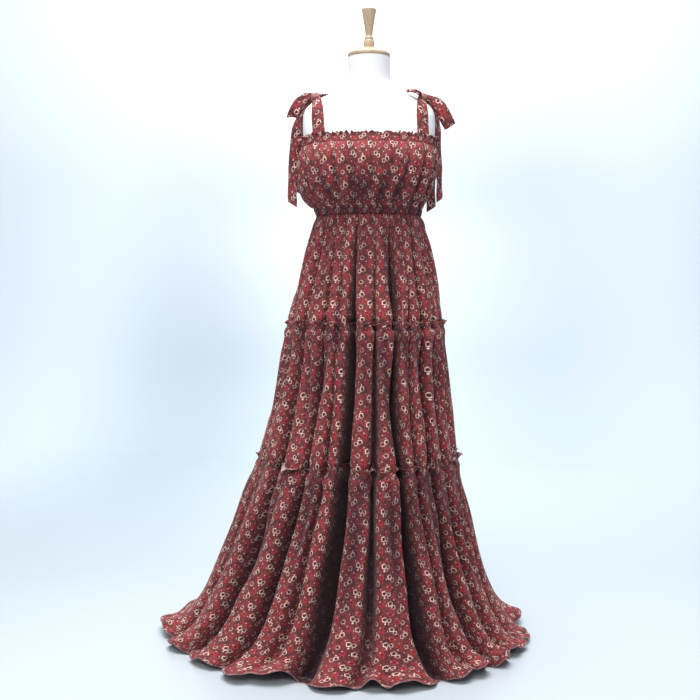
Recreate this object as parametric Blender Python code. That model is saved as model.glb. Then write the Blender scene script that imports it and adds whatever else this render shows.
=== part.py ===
"""Camisole dress with a gathered bodice, bow-tied straps and three tiers, worn by a limbless dress form.

Metres, +Z up. The front faces -Y. The origin is on the floor, at the middle of the stand's base.
Angles run round the body from the front (0) towards +X (90), the back (180) and -X (-90).
"""

import math

import bmesh
import bpy
import numpy as np
from mathutils import Matrix, Vector

CLOTH = 0.0014  # thickness of the dress cloth with its turnings
TIE = 0.0016  # thickness of a strap, which is two layers pressed flat
GAP = 0.0003  # clearance between sewn or touching pieces
SEAM_HALF_GAP = 0.0002  # each half of a tier stops this far from the side seam

SEAM_1_Z = 0.772
SEAM_2_Z = 0.443
HEADING = 0.016  # ruffle heading above each tier's gathering line
TUCK = 0.006  # how far a tier reaches down behind the next one
SMALL_STEP = 0.009

# The dress form: height, half width, depth in front, depth behind, squareness of the oval
FORM = (
    ("z", "side", "front", "back", "square"),
    (0.745, 0.118, 0.082, 0.088, 2.0),
    (0.790, 0.138, 0.096, 0.106, 2.0),
    (0.850, 0.140, 0.099, 0.110, 2.0),
    (0.920, 0.130, 0.094, 0.100, 2.0),
    (0.985, 0.118, 0.087, 0.084, 2.0),
    (1.050, 0.122, 0.088, 0.080, 2.0),
    (1.100, 0.136, 0.102, 0.084, 2.15),
    (1.160, 0.153, 0.117, 0.090, 2.3),
    (1.205, 0.158, 0.111, 0.093, 2.3),
    (1.250, 0.163, 0.094, 0.090, 2.3),
    (1.290, 0.163, 0.078, 0.080, 2.3),
    (1.306, 0.158, 0.071, 0.074, 2.3),
    (1.320, 0.145, 0.065, 0.069, 2.3),
    (1.332, 0.125, 0.061, 0.065, 2.2),
    (1.344, 0.100, 0.0580, 0.0615, 2.1),
    (1.356, 0.075, 0.0557, 0.0583, 2.0),
    (1.369, 0.0575, 0.0535, 0.0555, 2.0),
    (1.385, 0.0525, 0.0525, 0.0525, 2.0),
    (1.4351, 0.0525, 0.0525, 0.0525, 2.0),
)
FORM_COLUMNS = 28

# The bodice, as ease over the form: heights in front, at the side and behind, ease on four sides,
# depth of its soft folds, and how far its small gathers stand out
BODICE = (
    ("front_z", "side_z", "back_z", "left", "front", "right", "back", "fold", "gather"),
    (1.2410, 1.2300, 1.2320, 0.0085, 0.0085, 0.0085, 0.0085, 0.0000, 0.0050),
    (1.2290, 1.2180, 1.2200, 0.0047, 0.0047, 0.0047, 0.0047, 0.0000, 0.0012),
    (1.2150, 1.2040, 1.2060, 0.0066, 0.0070, 0.0064, 0.0062, 0.0000, 0.0030),
    (1.1880, 1.1790, 1.1800, 0.0180, 0.0180, 0.0140, 0.0110, 0.0045, 0.0010),
    (1.1540, 1.1500, 1.1500, 0.0240, 0.0240, 0.0170, 0.0150, 0.0070, 0.0000),
    (1.1180, 1.1150, 1.1150, 0.0290, 0.0280, 0.0140, 0.0190, 0.0080, 0.0000),
    (1.0820, 1.0820, 1.0820, 0.0270, 0.0230, 0.0130, 0.0170, 0.0070, 0.0015),
    (1.0600, 1.0600, 1.0600, 0.0130, 0.0110, 0.0080, 0.0090, 0.0030, 0.0025),
    (1.0440, 1.0440, 1.0440, 0.0060, 0.0050, 0.0045, 0.0045, 0.0010, 0.0018),
)
BODICE_FOLDS = 18

# The skirt's outer form: crest and valley heights, four half axes at the crests, depth of a full fold
SKIRT = (
    ("crest_z", "valley_z", "left", "front", "right", "back", "fold"),
    (1.0437, 1.0437, 0.1300, 0.0965, 0.1280, 0.0890, 0.0040),
    (1.0150, 1.0150, 0.1390, 0.1055, 0.1390, 0.1010, 0.0080),
    (0.9570, 0.9570, 0.1565, 0.1265, 0.1560, 0.1240, 0.0130),
    (0.8580, 0.8580, 0.1820, 0.1580, 0.1760, 0.1590, 0.0190),
    (0.7640, 0.7640, 0.2030, 0.1870, 0.1910, 0.1900, 0.0215),
    (0.6680, 0.6680, 0.2220, 0.2090, 0.2000, 0.2140, 0.0280),
    (0.5600, 0.5600, 0.2430, 0.2320, 0.2110, 0.2400, 0.0320),
    (0.4340, 0.4340, 0.2770, 0.2580, 0.2285, 0.2725, 0.0290),
    (0.3400, 0.3400, 0.3190, 0.2840, 0.2540, 0.3070, 0.0380),
    (0.2400, 0.2380, 0.3570, 0.3090, 0.2790, 0.3420, 0.0450),
    (0.1560, 0.1460, 0.3920, 0.3300, 0.3020, 0.3740, 0.0480),
    (0.0960, 0.0760, 0.4220, 0.3460, 0.3260, 0.4020, 0.0470),
    (0.0560, 0.0290, 0.4520, 0.3580, 0.3500, 0.4260, 0.0400),
    (0.0300, 0.0030, 0.4830, 0.3700, 0.3760, 0.4500, 0.0330),
    (0.0150, 0.0014, 0.5080, 0.3850, 0.4020, 0.4720, 0.0280),
)

# The skirt's folds, one valley a row: angle at the waist, in the middle tier and at the hem,
# strength (1 is the section's full depth) and spread (share of the way to the next valley)
FOLDS = (
    ("waist", "middle", "hem", "strength", "spread"),
    (-76.0, -77.0, -79.0, 0.60, 0.27),
    (-54.0, -54.0, -62.0, 1.00, 0.24),
    (-36.0, -33.0, -43.0, 0.60, 0.27),
    (-24.0, -22.0, -31.0, 0.30, 0.26),
    (-14.0, -12.0, -18.5, 1.00, 0.26),
    (6.0, 4.0, -3.0, 0.50, 0.26),
    (24.0, 18.5, 26.0, 1.00, 0.25),
    (37.0, 29.0, 36.0, 0.35, 0.26),
    (50.0, 41.0, 47.0, 0.90, 0.26),
    (62.0, 54.0, 60.0, 0.70, 0.26),
    (77.0, 71.0, 75.0, 0.45, 0.27),
    (96.0, 94.0, 94.0, 0.85, 0.24),
    (114.0, 113.0, 115.0, 0.50, 0.25),
    (132.0, 132.0, 134.0, 0.95, 0.22),
    (151.0, 152.0, 154.0, 0.60, 0.25),
    (171.0, 172.0, 174.0, 1.00, 0.23),
    (190.0, 191.0, 193.0, 0.50, 0.25),
    (210.0, 211.0, 214.0, 0.95, 0.22),
    (231.0, 232.0, 236.0, 0.65, 0.25),
    (255.0, 256.0, 260.0, 0.90, 0.22),
)
MIDDLE_Z = 0.600

# Where the hem reaches further over the floor: angle, extra reach, angular width
HEM_LOBES = (
    ("angle", "reach", "width"),
    (-98.0, 0.022, 8.0),
    (-34.0, 0.030, 7.0),
    (-10.0, 0.012, 7.0),
    (78.0, 0.012, 9.0),
    (140.0, 0.018, 12.0),
    (205.0, 0.022, 10.0),
)

STRAP_X = {"left": 0.1165, "right": 0.1305}  # where a strap leaves the neckline
KNOT_X = 0.128  # where it is tied on the shoulder
TIE_WIDTH = 0.028
TIE_PINCH = 0.013  # its width where it enters the knot
KNOT_SIZE = (0.012, 0.014, 0.010)  # half sizes: outwards, to the back, up
STRAP_FOOT = 1.207  # the straps start here, inside the neckline casing
STRAP_SWEEP = 86.5  # and end this many degrees further up, inside the knot
STRAP_LIFT = 0.0010  # how far a strap stands off the form's smooth oval
STRAP_SECTIONS = 14

# Loops and tails of the two bows, from the knot's centre in millimetres: outwards, back, up.
# "start" and "end" say which way the ribbon's width lies.
BOWS = {
    "left": {
        "loop_outer": {
            "path": ((6, -6, 2), (16, -10, 1), (29, -15, -8), (41, -18, -22), (50, -20, -38), (55, -19, -51),
                     (54, -13, -52), (48, -10, -39), (39, -8, -25), (28, -5, -12), (17, -1, -4), (6, 1, -1)),
            "start": (0.0, 0.2, 1.0), "end": (0.1, 0.2, 1.0), "turn": (1.0, 0.1, 0.1),
        },
        "loop_inner": {
            "path": ((-4, 6, 5), (-12, 17, 9), (-20, 31, 9), (-26, 45, 5), (-28, 48, 0), (-22, 36, 2),
                     (-13, 20, 4), (-4, 7, 1)),
            "start": (1.0, 0.2, 0.0), "end": (1.0, 0.2, 0.0), "turn": (1.0, 0.5, -0.15),
        },
        "tail_front": {
            "path": ((1, 7, -7), (14, 13, -15), (34, 18, -37), (45, 21, -62), (53, 22, -105), (57, 22, -165),
                     (59, 20, -220), (58, 18, -272)),
            "start": (0.0, 1.0, -0.2), "end": (0.80, 0.60, 0.0), "turn": None,
        },
        "tail_back": {
            "path": ((3, 8, 0), (14, 24, -2), (30, 50, -26), (38, 68, -72), (41, 75, -120), (42, 77, -180),
                     (41, 76, -242)),
            "start": (1.0, 0.1, 0.0), "end": (0.75, 0.66, 0.0), "turn": None,
        },
    },
    "right": {
        "loop_outer": {
            "path": ((6, -5, 1), (16, -9, -5), (28, -14, -12), (39, -18, -22), (48, -21, -36), (57, -23, -54),
                     (65, -22, -71), (64, -16, -73), (55, -13, -56), (45, -11, -39), (35, -9, -25), (24, -6, -14),
                     (14, -3, -6), (6, 0, -1)),
            "start": (0.0, 0.2, 1.0), "end": (0.1, 0.2, 1.0), "turn": (0.84, 0.0, 0.55),
        },
        "loop_inner": {
            "path": ((-5, -6, 4), (-12, -17, 10), (-20, -29, 11), (-27, -38, 9), (-29, -41, 7), (-27, -39, 5),
                     (-19, -30, 6), (-12, -19, 5), (-5, -8, 1)),
            "start": (0.6, -0.5, -0.4), "end": (0.6, -0.5, -0.4), "turn": (0.8, -0.55, -0.2),
        },
        "tail_front": {
            "path": ((1, 6, -7), (14, 12, -15), (33, 24, -37), (39, 38, -68), (42, 50, -115), (44, 53, -170),
                     (45, 51, -220), (45, 48, -258)),
            "start": (0.1, 1.0, -0.2), "end": (0.55, 0.83, 0.0), "turn": None,
        },
        "tail_back": {
            "path": ((4, 8, 0), (11, 24, -2), (25, 50, -24), (31, 70, -72), (28, 82, -130), (26, 86, -200),
                     (26, 84, -279)),
            "start": (1.0, 0.1, 0.0), "end": (0.80, 0.60, 0.0), "turn": None,
        },
    },
}
TAIL_SECTIONS = 14
LOOP_SECTIONS = 18

BASE_RADIUS = 0.150
BASE_HEIGHT = 0.012
COLLAR_RADIUS = 0.030
COLLAR_HEIGHT = 0.034
POLE_RADIUS = 0.014
CAP_Z = 1.4354
CAP_HEIGHT = 0.0254
TURNED_STEPS = 24

COLOURS = {
    "print_cloth": ((0.23, 0.035, 0.035, 1.0), 0.75, 0.0),
    "white_cover": ((0.86, 0.86, 0.84, 1.0), 0.6, 0.0),
    "pale_wood": ((0.66, 0.45, 0.27, 1.0), 0.5, 0.0),
    "white_metal": ((0.80, 0.80, 0.79, 1.0), 0.35, 0.4),
}


def column(table, name):
    """One named column of a table as an array."""
    place = table[0].index(name)
    return np.array([row[place] for row in table[1:]], float)


def material(name):
    """The named Principled material."""
    made = bpy.data.materials.get(name) or bpy.data.materials.new(name)
    made.use_nodes = True
    colour, roughness, metallic = COLOURS[name]
    shader = made.node_tree.nodes["Principled BSDF"]
    shader.inputs["Base Color"].default_value = colour
    shader.inputs["Roughness"].default_value = roughness
    shader.inputs["Metallic"].default_value = metallic
    return made


def finished(name, mesh, finish, parent):
    """An object of this mesh with its material, under its assembly's empty."""
    obj = bpy.data.objects.new(name, mesh)
    mesh.materials.append(material(finish))
    obj.parent = parent
    bpy.context.scene.collection.objects.link(obj)
    return obj


def oval(angle, left, front, right, back, square=2.0):
    """Points at these angles on an oval with four half axes. The square exponent 2 is an ellipse."""
    s, c = np.sin(np.radians(angle)), np.cos(np.radians(angle))
    power = 2.0 / square
    x = np.where(s > 0, right, left) * np.sign(s) * np.abs(s) ** power
    y = -np.where(c > 0, front, back) * np.sign(c) * np.abs(c) ** power
    return x, y


def form_at(z):
    """Half width, depth in front, depth behind and squareness of the form at heights z."""
    heights = column(FORM, "z")
    return [np.interp(z, heights, column(FORM, name)) for name in ("side", "front", "back", "square")]


def offset_directions(grid, closed):
    """For each grid point, the step that moves all the faces round it out by one unit.

    It solves n . step = 1 for the normals n of the four faces, in the least-squares sense.
    """
    following = np.roll(grid, -1, axis=1)
    faces = np.cross(grid[1:] - following[:-1], following[1:] - grid[:-1])
    if not closed:
        faces = faces[:, :-1]
    faces /= np.linalg.norm(faces, axis=2, keepdims=True)
    above = np.concatenate([faces[:1], faces])
    below = np.concatenate([faces, faces[-1:]])
    if closed:
        round_point = (above, np.roll(above, 1, axis=1), below, np.roll(below, 1, axis=1))
    else:
        round_point = [
            np.concatenate([f[:, :1], f] if first else [f, f[:, -1:]], axis=1)
            for f in (above, below)
            for first in (True, False)
        ]
    normals = np.stack(round_point, axis=2)
    return np.linalg.pinv(normals, rcond=0.34) @ np.ones(4)


def wall_mesh(name, outer, inner):
    """A closed wall between two open grids of the same size, both triangulated the same way."""
    rows, columns = outer.shape[:2]
    half = rows * columns
    index = np.arange(half).reshape(rows, columns)
    a, b, c, d = index[:-1, :-1], index[1:, :-1], index[1:, 1:], index[:-1, 1:]
    triangles = np.concatenate([np.stack([a, b, c], -1).reshape(-1, 3), np.stack([a, c, d], -1).reshape(-1, 3)])
    rim = np.concatenate([index[0, :-1], index[:-1, -1], index[-1, :0:-1], index[:0:-1, 0]])
    rim_next = np.roll(rim, -1)
    faces = triangles.tolist() + (triangles[:, ::-1] + half).tolist()
    faces += np.stack([rim, rim_next, rim_next + half, rim + half], -1).tolist()
    mesh = bpy.data.meshes.new(name)
    mesh.from_pydata(np.concatenate([outer.reshape(-1, 3), inner.reshape(-1, 3)]).tolist(), [], faces)
    shape = bmesh.new()
    shape.from_mesh(mesh)
    bmesh.ops.recalc_face_normals(shape, faces=shape.faces)
    shape.to_mesh(mesh)
    shape.free()
    mesh.shade_smooth()
    mesh.set_sharp_from_angle(angle=math.radians(60))
    return mesh


def tube_halves(name, outer, inner, split, parent):
    """Front and back nodes of a closed tube of cloth, parted at the two side-seam columns."""
    first, second = split
    total = outer.shape[1]
    for side, start, stop in (("front", first, second), ("back", second, first)):
        wanted = (start + np.arange((stop - start) % total + 1)) % total
        halves = []
        for grid in (outer, inner):
            half = grid[:, wanted].copy()
            for edge, inside in ((0, 1), (-1, -2)):
                step = half[:, inside] - half[:, edge]
                half[:, edge] += SEAM_HALF_GAP * step / np.linalg.norm(step, axis=1, keepdims=True)
            halves.append(half)
        finished(f"{name}_{side}", wall_mesh(f"{name}_{side}", *halves), "print_cloth", parent)


def column_gathers(folds):
    """Which columns stand out in the small gathers: every second one, in uneven amounts."""
    wave = np.tile([0.0, 1.0, 0.0, 1.0], folds)
    return wave * (0.80 + 0.20 * np.sin(2.1 * np.arange(4 * folds)))


def fold_columns(spreads):
    """Positions of the grid's columns in fold units: valley, shoulder, crest and next shoulder."""
    following = np.roll(spreads, -1)
    start = np.arange(len(spreads))
    return np.stack([start, start + spreads, start + 0.5, start + 1 - following], axis=1).ravel()


def valley_share(along, spreads, strengths):
    """How deep the surface lies at fold positions: 1 in the middle of a valley of full strength, 0 on a crest."""
    folds = len(spreads)
    before = np.floor(along).astype(int) % folds
    share = along - np.floor(along)
    nearest = np.where(share < 0.5, before, (before + 1) % folds)
    distance = np.where(share < 0.5, share, 1 - share) / spreads[nearest]
    return strengths[nearest] / (1 + (1.9 * distance) ** 3)


def fold_angles(along, valley_angles):
    """Angles at fold positions, evenly spaced between one valley and the next."""
    wrapped = np.concatenate([valley_angles, valley_angles[:, :1] + 360], axis=1)
    before = np.floor(along).astype(int)
    share = along - before
    return wrapped[:, before] * (1 - share) + wrapped[:, before + 1] * share


def skirt_level(z):
    """The place of a height in the skirt's table of sections, counted in rows."""
    heights = column(SKIRT, "crest_z")
    return np.interp(-z, -heights, np.arange(len(heights)))


def skirt_grid(levels, along):
    """Points of the skirt's outer face at table levels and fold positions."""
    rows = np.arange(len(SKIRT) - 1)
    at = {name: np.interp(levels, rows, column(SKIRT, name))[:, None] for name in SKIRT[0]}
    waist, middle, hem = (column(FOLDS, name) for name in ("waist", "middle", "hem"))
    knots = [0.0, float(skirt_level(MIDDLE_Z)), float(rows[-1])]
    tracks = np.stack([waist, middle, hem])
    valleys = np.stack([np.interp(levels, knots, track) for track in tracks.T], axis=1)
    angle = fold_angles(along, valleys)
    share = valley_share(along, column(FOLDS, "spread"), column(FOLDS, "strength"))
    # Ridges stand out unevenly, by up to a few millimetres more lower down.
    uneven = (0.0015 + 0.0005 * levels[:, None]) * np.sin(np.radians(3.0 * angle + 40.0))
    near_hem = np.clip((levels[:, None] - rows[-1] + 4) / 4, 0, 1) ** 2
    reach = uneven + 0.0
    for turn, extra, width in HEM_LOBES[1:]:
        away = (angle - turn + 180) % 360 - 180
        reach = reach + near_hem * extra * np.exp(-((away / width) ** 2))
    inward = at["fold"] * share - reach
    axes = [at[name] - inward for name in ("left", "front", "right", "back")]
    x, y = oval(angle, *axes)
    z = at["crest_z"] + (at["valley_z"] - at["crest_z"]) * share
    return np.stack([x, y, z], axis=-1)


def side_seams(angles):
    """The two columns nearest to the side seams, at -90 and +90 degrees."""
    turned = (angles + 180) % 360 - 180
    return int(np.argmin(np.abs(turned + 90))), int(np.argmin(np.abs(turned - 90)))


def tier(name, top, between, bottom, headed, parent):
    """One tier of the skirt: its gathering line is at height top, and between and bottom are table levels.

    A headed tier is stitched over the one above: its heading and gathers lie on the wall of that tier,
    moved out by the cloth's thickness and the gap.
    """
    spreads = column(FOLDS, "spread")
    along = fold_columns(spreads)
    gather = column_gathers(len(spreads))
    if headed:
        heights = [top + HEADING, top, top - SMALL_STEP, top - 4 * SMALL_STEP]
        lifts = [CLOTH + GAP + 0.0045, CLOTH + GAP, CLOTH + GAP, 0.0008]
        waves = [0.0065, 0.0, 0.0035, 0.0030]
    else:
        heights, lifts, waves = [top], [0.0], [0.0015]
    levels = np.concatenate([skirt_level(np.array(heights)), between, bottom])
    fill = len(levels) - len(lifts)
    lifts = np.array(lifts + [0.0] * fill)[:, None, None]
    waves = np.array(waves + [0.0] * fill)[:, None, None] * gather[None, :, None]
    grid = skirt_grid(levels, along)
    away = grid * np.array([1.0, 1.0, 0.0])
    away /= np.linalg.norm(away, axis=2, keepdims=True)
    outer = grid + offset_directions(grid, closed=True) * lifts + away * waves
    if not headed:
        outer[0, :, 2] = top
    inner = outer - offset_directions(outer, closed=True) * CLOTH
    inner[0, :, 2] = outer[0, :, 2]
    inner[..., 2] = np.maximum(inner[..., 2], 0.0)
    angles = np.degrees(np.arctan2(grid[0, :, 0], -grid[0, :, 1]))
    tube_halves(name, outer, inner, side_seams(angles), parent)


def build_skirt(parent):
    """The three tiers, each reaching a little way down behind the next."""
    under_seam_1 = skirt_level(np.array([SEAM_1_Z + HEADING, SEAM_1_Z - TUCK]))
    under_seam_2 = skirt_level(np.array([SEAM_2_Z + HEADING, SEAM_2_Z - TUCK]))
    tier("tier1", SKIRT[1][0], [1.0, 2.0, 3.0], under_seam_1, False, parent)
    tier("tier2", SEAM_1_Z, [5.0, 6.0], under_seam_2, True, parent)
    tier("tier3", SEAM_2_Z, [8.0, 9.0, 10.0, 11.0, 12.0, 13.0], [14.0], True, parent)


def build_bodice(parent):
    """Bodice halves: a tube over the form with gathers at the neckline and the waist and soft folds between."""
    spreads = np.full(BODICE_FOLDS, 0.25)
    along = fold_columns(spreads)
    start = 360.0 / BODICE_FOLDS * (np.arange(BODICE_FOLDS) + 0.22 * np.sin(2.7 * np.arange(BODICE_FOLDS)))
    angle = fold_angles(along, start[None, :] - 90.0)
    strength = 0.65 + 0.35 * np.sin(1.9 * np.arange(BODICE_FOLDS))
    share = valley_share(along, spreads, strength)
    gather = column_gathers(BODICE_FOLDS)
    at = {name: column(BODICE, name)[:, None] for name in BODICE[0]}
    facing = np.cos(np.radians(angle))
    flat_part = np.clip(1.35 * np.abs(facing), 0, 1) ** 0.5
    end_z = np.where(facing > 0, at["front_z"], at["back_z"])
    z = at["side_z"] + (end_z - at["side_z"]) * flat_part
    side, front, back, square = form_at(z)
    out = at["gather"] * gather - at["fold"] * share
    x, y = oval(
        angle, side + at["left"] + out, front + at["front"] + out,
        side + at["right"] + out, back + at["back"] + out, square,
    )
    outer = np.stack([x, y, z], axis=-1)
    inner = outer - offset_directions(outer, closed=True) * CLOTH
    for edge in (0, -1):
        inner[edge, :, 2] = outer[edge, :, 2]
    tube_halves("bodice", outer, inner, side_seams(angle[0]), parent)


def build_torso(parent):
    """The form's body: horizontal ovals from the flat underside to the top of the neck, joined and capped."""
    shape = bmesh.new()
    angles = np.linspace(0, 360, FORM_COLUMNS, endpoint=False)
    rings = []
    for z, side, front, back, square in FORM[1:]:
        x, y = oval(angles, side, front, side, back, square)
        rings.append([shape.verts.new((px, py, z)) for px, py in zip(x, y)])
    for low, high in zip(rings, rings[1:]):
        for k in range(FORM_COLUMNS):
            after = (k + 1) % FORM_COLUMNS
            shape.faces.new((low[k], low[after], high[after], high[k]))
    shape.faces.new(rings[0][::-1])
    shape.faces.new(rings[-1])
    bmesh.ops.recalc_face_normals(shape, faces=shape.faces)
    mesh = bpy.data.meshes.new("form_torso")
    shape.to_mesh(mesh)
    shape.free()
    mesh.shade_smooth()
    mesh.set_sharp_from_angle(angle=math.radians(50))
    finished("form_torso", mesh, "white_cover", parent)


def turned(name, profile, finish, parent, steps=TURNED_STEPS):
    """A round piece spun from (radius, height) points that start and end on the axis."""
    shape = bmesh.new()
    points = [shape.verts.new((radius, 0.0, z)) for radius, z in profile]
    edges = [shape.edges.new(pair) for pair in zip(points, points[1:])]
    bmesh.ops.spin(
        shape, geom=points + edges, cent=(0, 0, 0), axis=(0, 0, 1), angle=math.tau, steps=steps, use_merge=True,
    )
    bmesh.ops.remove_doubles(shape, verts=shape.verts, dist=1e-6)
    bmesh.ops.recalc_face_normals(shape, faces=shape.faces)
    mesh = bpy.data.meshes.new(name)
    shape.to_mesh(mesh)
    shape.free()
    mesh.shade_smooth()
    mesh.set_sharp_from_angle(angle=math.radians(35))
    return finished(name, mesh, finish, parent)


def build_stand(parent):
    """Base, pole, wooden neck cap and finial, all turned about the form's axis."""
    torso_foot = FORM[1][0]
    turned("form_base", (
        (0, 0), (BASE_RADIUS - 0.002, 0), (BASE_RADIUS, 0.002), (BASE_RADIUS, 0.008), (BASE_RADIUS - 0.006, BASE_HEIGHT),
        (COLLAR_RADIUS + 0.004, BASE_HEIGHT + 0.003), (COLLAR_RADIUS, BASE_HEIGHT + 0.008),
        (COLLAR_RADIUS - 0.002, COLLAR_HEIGHT), (0, COLLAR_HEIGHT),
    ), "white_metal", parent, steps=24)
    turned("form_pole", (
        (0, COLLAR_HEIGHT + GAP), (POLE_RADIUS, COLLAR_HEIGHT + GAP),
        (POLE_RADIUS, torso_foot - GAP), (0, torso_foot - GAP),
    ), "white_metal", parent, steps=16)
    turned("form_neck_cap", (
        (0, CAP_Z), (0.0508, CAP_Z), (0.0526, CAP_Z + 0.0025), (0.0526, CAP_Z + 0.0075), (0.0505, CAP_Z + 0.0112),
        (0.042, CAP_Z + 0.0140), (0.030, CAP_Z + 0.0175), (0.021, CAP_Z + 0.0210), (0.016, CAP_Z + CAP_HEIGHT),
        (0, CAP_Z + CAP_HEIGHT),
    ), "pale_wood", parent, steps=20)
    foot = CAP_Z + CAP_HEIGHT + GAP
    turned("form_finial", (
        (0, foot), (0.0128, foot), (0.0135, foot + 0.004), (0.0130, foot + 0.0145), (0.0112, foot + 0.018),
        (0.0118, foot + 0.0215), (0.0086, foot + 0.028), (0.0090, foot + 0.034), (0.0130, foot + 0.064),
        (0.0176, foot + 0.091), (0.0170, foot + 0.095), (0, foot + 0.095),
    ), "pale_wood", parent, steps=16)


def shoulder_points(x, sweep):
    """Where a ray from inside the chest at this x, turned up by sweep degrees from the front, meets the form.

    Sweep 0 points to the front, 90 straight up and 180 to the back. The distance is found by halving.
    """
    x, sweep = np.broadcast_arrays(np.asarray(x, float), np.radians(np.asarray(sweep, float)))
    low, high = np.zeros(x.shape), np.full(x.shape, 0.25)
    for _ in range(40):
        middle = (low + high) / 2
        y, z = -middle * np.cos(sweep), STRAP_FOOT + middle * np.sin(sweep)
        side, front, back, square = form_at(z)
        depth = np.where(y < 0, front, back)
        inside = (np.abs(x) / side) ** square + (np.abs(y) / depth) ** square < 1
        low, high = np.where(inside, middle, low), np.where(inside, high, middle)
    return np.stack([x, -low * np.cos(sweep), STRAP_FOOT + low * np.sin(sweep)], axis=-1)


def knot_place(side):
    """The knot's centre on a shoulder and its outward and up directions."""
    sign = 1.0 if side == "right" else -1.0
    here, further = (Vector(shoulder_points(sign * x, 90.0)) for x in (KNOT_X, KNOT_X + 0.006))
    outward = (further - here).normalized()
    up = Vector((-outward.z * sign, 0.0, abs(outward.x)))
    return here + up * (KNOT_SIZE[2] + GAP + 0.0002), outward, up


def ellipsoid(name, half_sizes, centre, outward, up):
    """A smooth egg shape on these axes."""
    shape = bmesh.new()
    bmesh.ops.create_uvsphere(shape, u_segments=12, v_segments=7, radius=1.0)
    back = Vector((0.0, 1.0, 0.0))
    axes = [axis * size for axis, size in zip((outward, back, up), half_sizes)]
    turn = Matrix([[axis[row] for axis in axes] for row in range(3)]).to_4x4()
    bmesh.ops.transform(shape, matrix=Matrix.Translation(centre) @ turn, verts=shape.verts)
    bmesh.ops.recalc_face_normals(shape, faces=shape.faces)
    mesh = bpy.data.meshes.new(name)
    shape.to_mesh(mesh)
    shape.free()
    mesh.shade_smooth()
    return mesh


def cut_by(obj, cutter):
    """Takes the cutter's shape out of an object."""
    cut = obj.modifiers.new("knot_clearance", "BOOLEAN")
    cut.operation = "DIFFERENCE"
    cut.object = cutter
    cut.solver = "EXACT"


def curve_through(points, count):
    """Evenly counted points on a smooth curve through the given ones (Catmull-Rom)."""
    points = np.asarray(points, float)
    padded = np.concatenate([2 * points[:1] - points[1:2], points, 2 * points[-1:] - points[-2:-1]])
    at = np.linspace(0, len(points) - 1, count)
    start = np.minimum(np.floor(at).astype(int), len(points) - 2)
    t = (at - start)[:, None]
    a, b, c, d = (padded[start + k] for k in range(4))
    return 0.5 * (2 * b + (c - a) * t + (2 * a - 5 * b + 4 * c - d) * t**2 + (3 * b - a - 3 * c + d) * t**3)


def ribbon(name, line, across, widths, parent):
    """A flat ribbon along a line: three points across each section, on a wall of the tie's thickness."""
    ahead = np.gradient(line, axis=0)
    ahead /= np.linalg.norm(ahead, axis=1, keepdims=True)
    across = across - np.sum(across * ahead, axis=1, keepdims=True) * ahead
    across /= np.linalg.norm(across, axis=1, keepdims=True)
    facing = np.cross(ahead, across)
    crown = np.array([0.0, 0.0012, 0.0])[None, :, None]
    grid = line[:, None] + across[:, None] * (widths[:, None] * np.array([-0.5, 0.0, 0.5]))[..., None]
    grid = grid + facing[:, None] * crown
    step = offset_directions(grid, closed=False) * TIE / 2
    return finished(name, wall_mesh(name, grid + step, grid - step), "print_cloth", parent)


def strap(name, side, back, parent):
    """A strap that lies on the form from inside the neckline casing to the knot."""
    sign = 1.0 if side == "right" else -1.0
    share = np.linspace(0, 1, STRAP_SECTIONS)[:, None]
    sweep = (180 - STRAP_SWEEP * share) if back else STRAP_SWEEP * share
    narrowing = np.clip((share - 0.62) / 0.38, 0, 1)
    width = TIE_WIDTH + (TIE_PINCH + 0.006 - TIE_WIDTH) * narrowing
    middle = STRAP_X[side] + (KNOT_X - STRAP_X[side]) * share
    x = sign * (middle + width * np.array([-0.5, -0.17, 0.17, 0.5]))
    grid = shoulder_points(x, sweep)
    out = offset_directions(grid, closed=False)
    if np.sum(out[:, :, 2]) < 0:
        out = -out
    lift = STRAP_LIFT
    return finished(name, wall_mesh(name, grid + out * (lift + TIE), grid + out * lift), "print_cloth", parent)


def build_bow(side, parent):
    """One tied shoulder: knot, two straps, two loops and two tails, all cut clear of the knot."""
    sign = 1.0 if side == "right" else -1.0
    centre, outward, up = knot_place(side)
    knot = ellipsoid(f"knot_{side}", KNOT_SIZE, centre, outward, up)
    finished(f"knot_{side}", knot, "print_cloth", parent)
    clear_sizes = [size + GAP for size in KNOT_SIZE]
    cutter = bpy.data.objects.new(f"knot_clearance_{side}", ellipsoid("clearance", clear_sizes, centre, outward, up))
    cutter.hide_render = True
    cutter.display_type = "WIRE"
    bpy.context.scene.collection.objects.link(cutter)
    cut_by(strap(f"strap_front_{side}", side, False, parent), cutter)
    cut_by(strap(f"strap_back_{side}", side, True, parent), cutter)
    mirror = np.array([sign, 1.0, 1.0])
    for piece, shape in BOWS[side].items():
        path = np.array(shape["path"], float) / 1000 * mirror + np.array(centre)
        looped = shape["turn"] is not None
        count = LOOP_SECTIONS if looped else TAIL_SECTIONS
        line = curve_through(path, count)
        share = np.linspace(0, 1, count)
        ways = [shape["start"], shape["turn"], shape["end"]] if looped else [shape["start"], shape["end"], shape["end"]]
        ways = np.array(ways) * mirror
        across = np.stack([np.interp(share, [0, 0.5, 1], ways[:, k]) for k in range(3)], axis=1)
        from_knot = np.minimum(share, 1 - share) * 2 if looped else share
        widths = TIE_PINCH + (TIE_WIDTH - TIE_PINCH) * np.clip(from_knot / (0.55 if looped else 0.30), 0, 1)
        cut_by(ribbon(f"{piece}_{side}", line, across, widths, parent), cutter)


def assembly(name):
    """An empty that gathers one assembly's pieces."""
    empty = bpy.data.objects.new(name, None)
    bpy.context.scene.collection.objects.link(empty)
    return empty


def build():
    """The whole object in an empty scene."""
    for obj in list(bpy.data.objects):
        bpy.data.objects.remove(obj)
    form, dress = assembly("dress_form"), assembly("dress")
    build_torso(form)
    build_stand(form)
    build_bodice(dress)
    build_skirt(dress)
    for side in ("left", "right"):
        build_bow(side, dress)


build()
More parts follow.
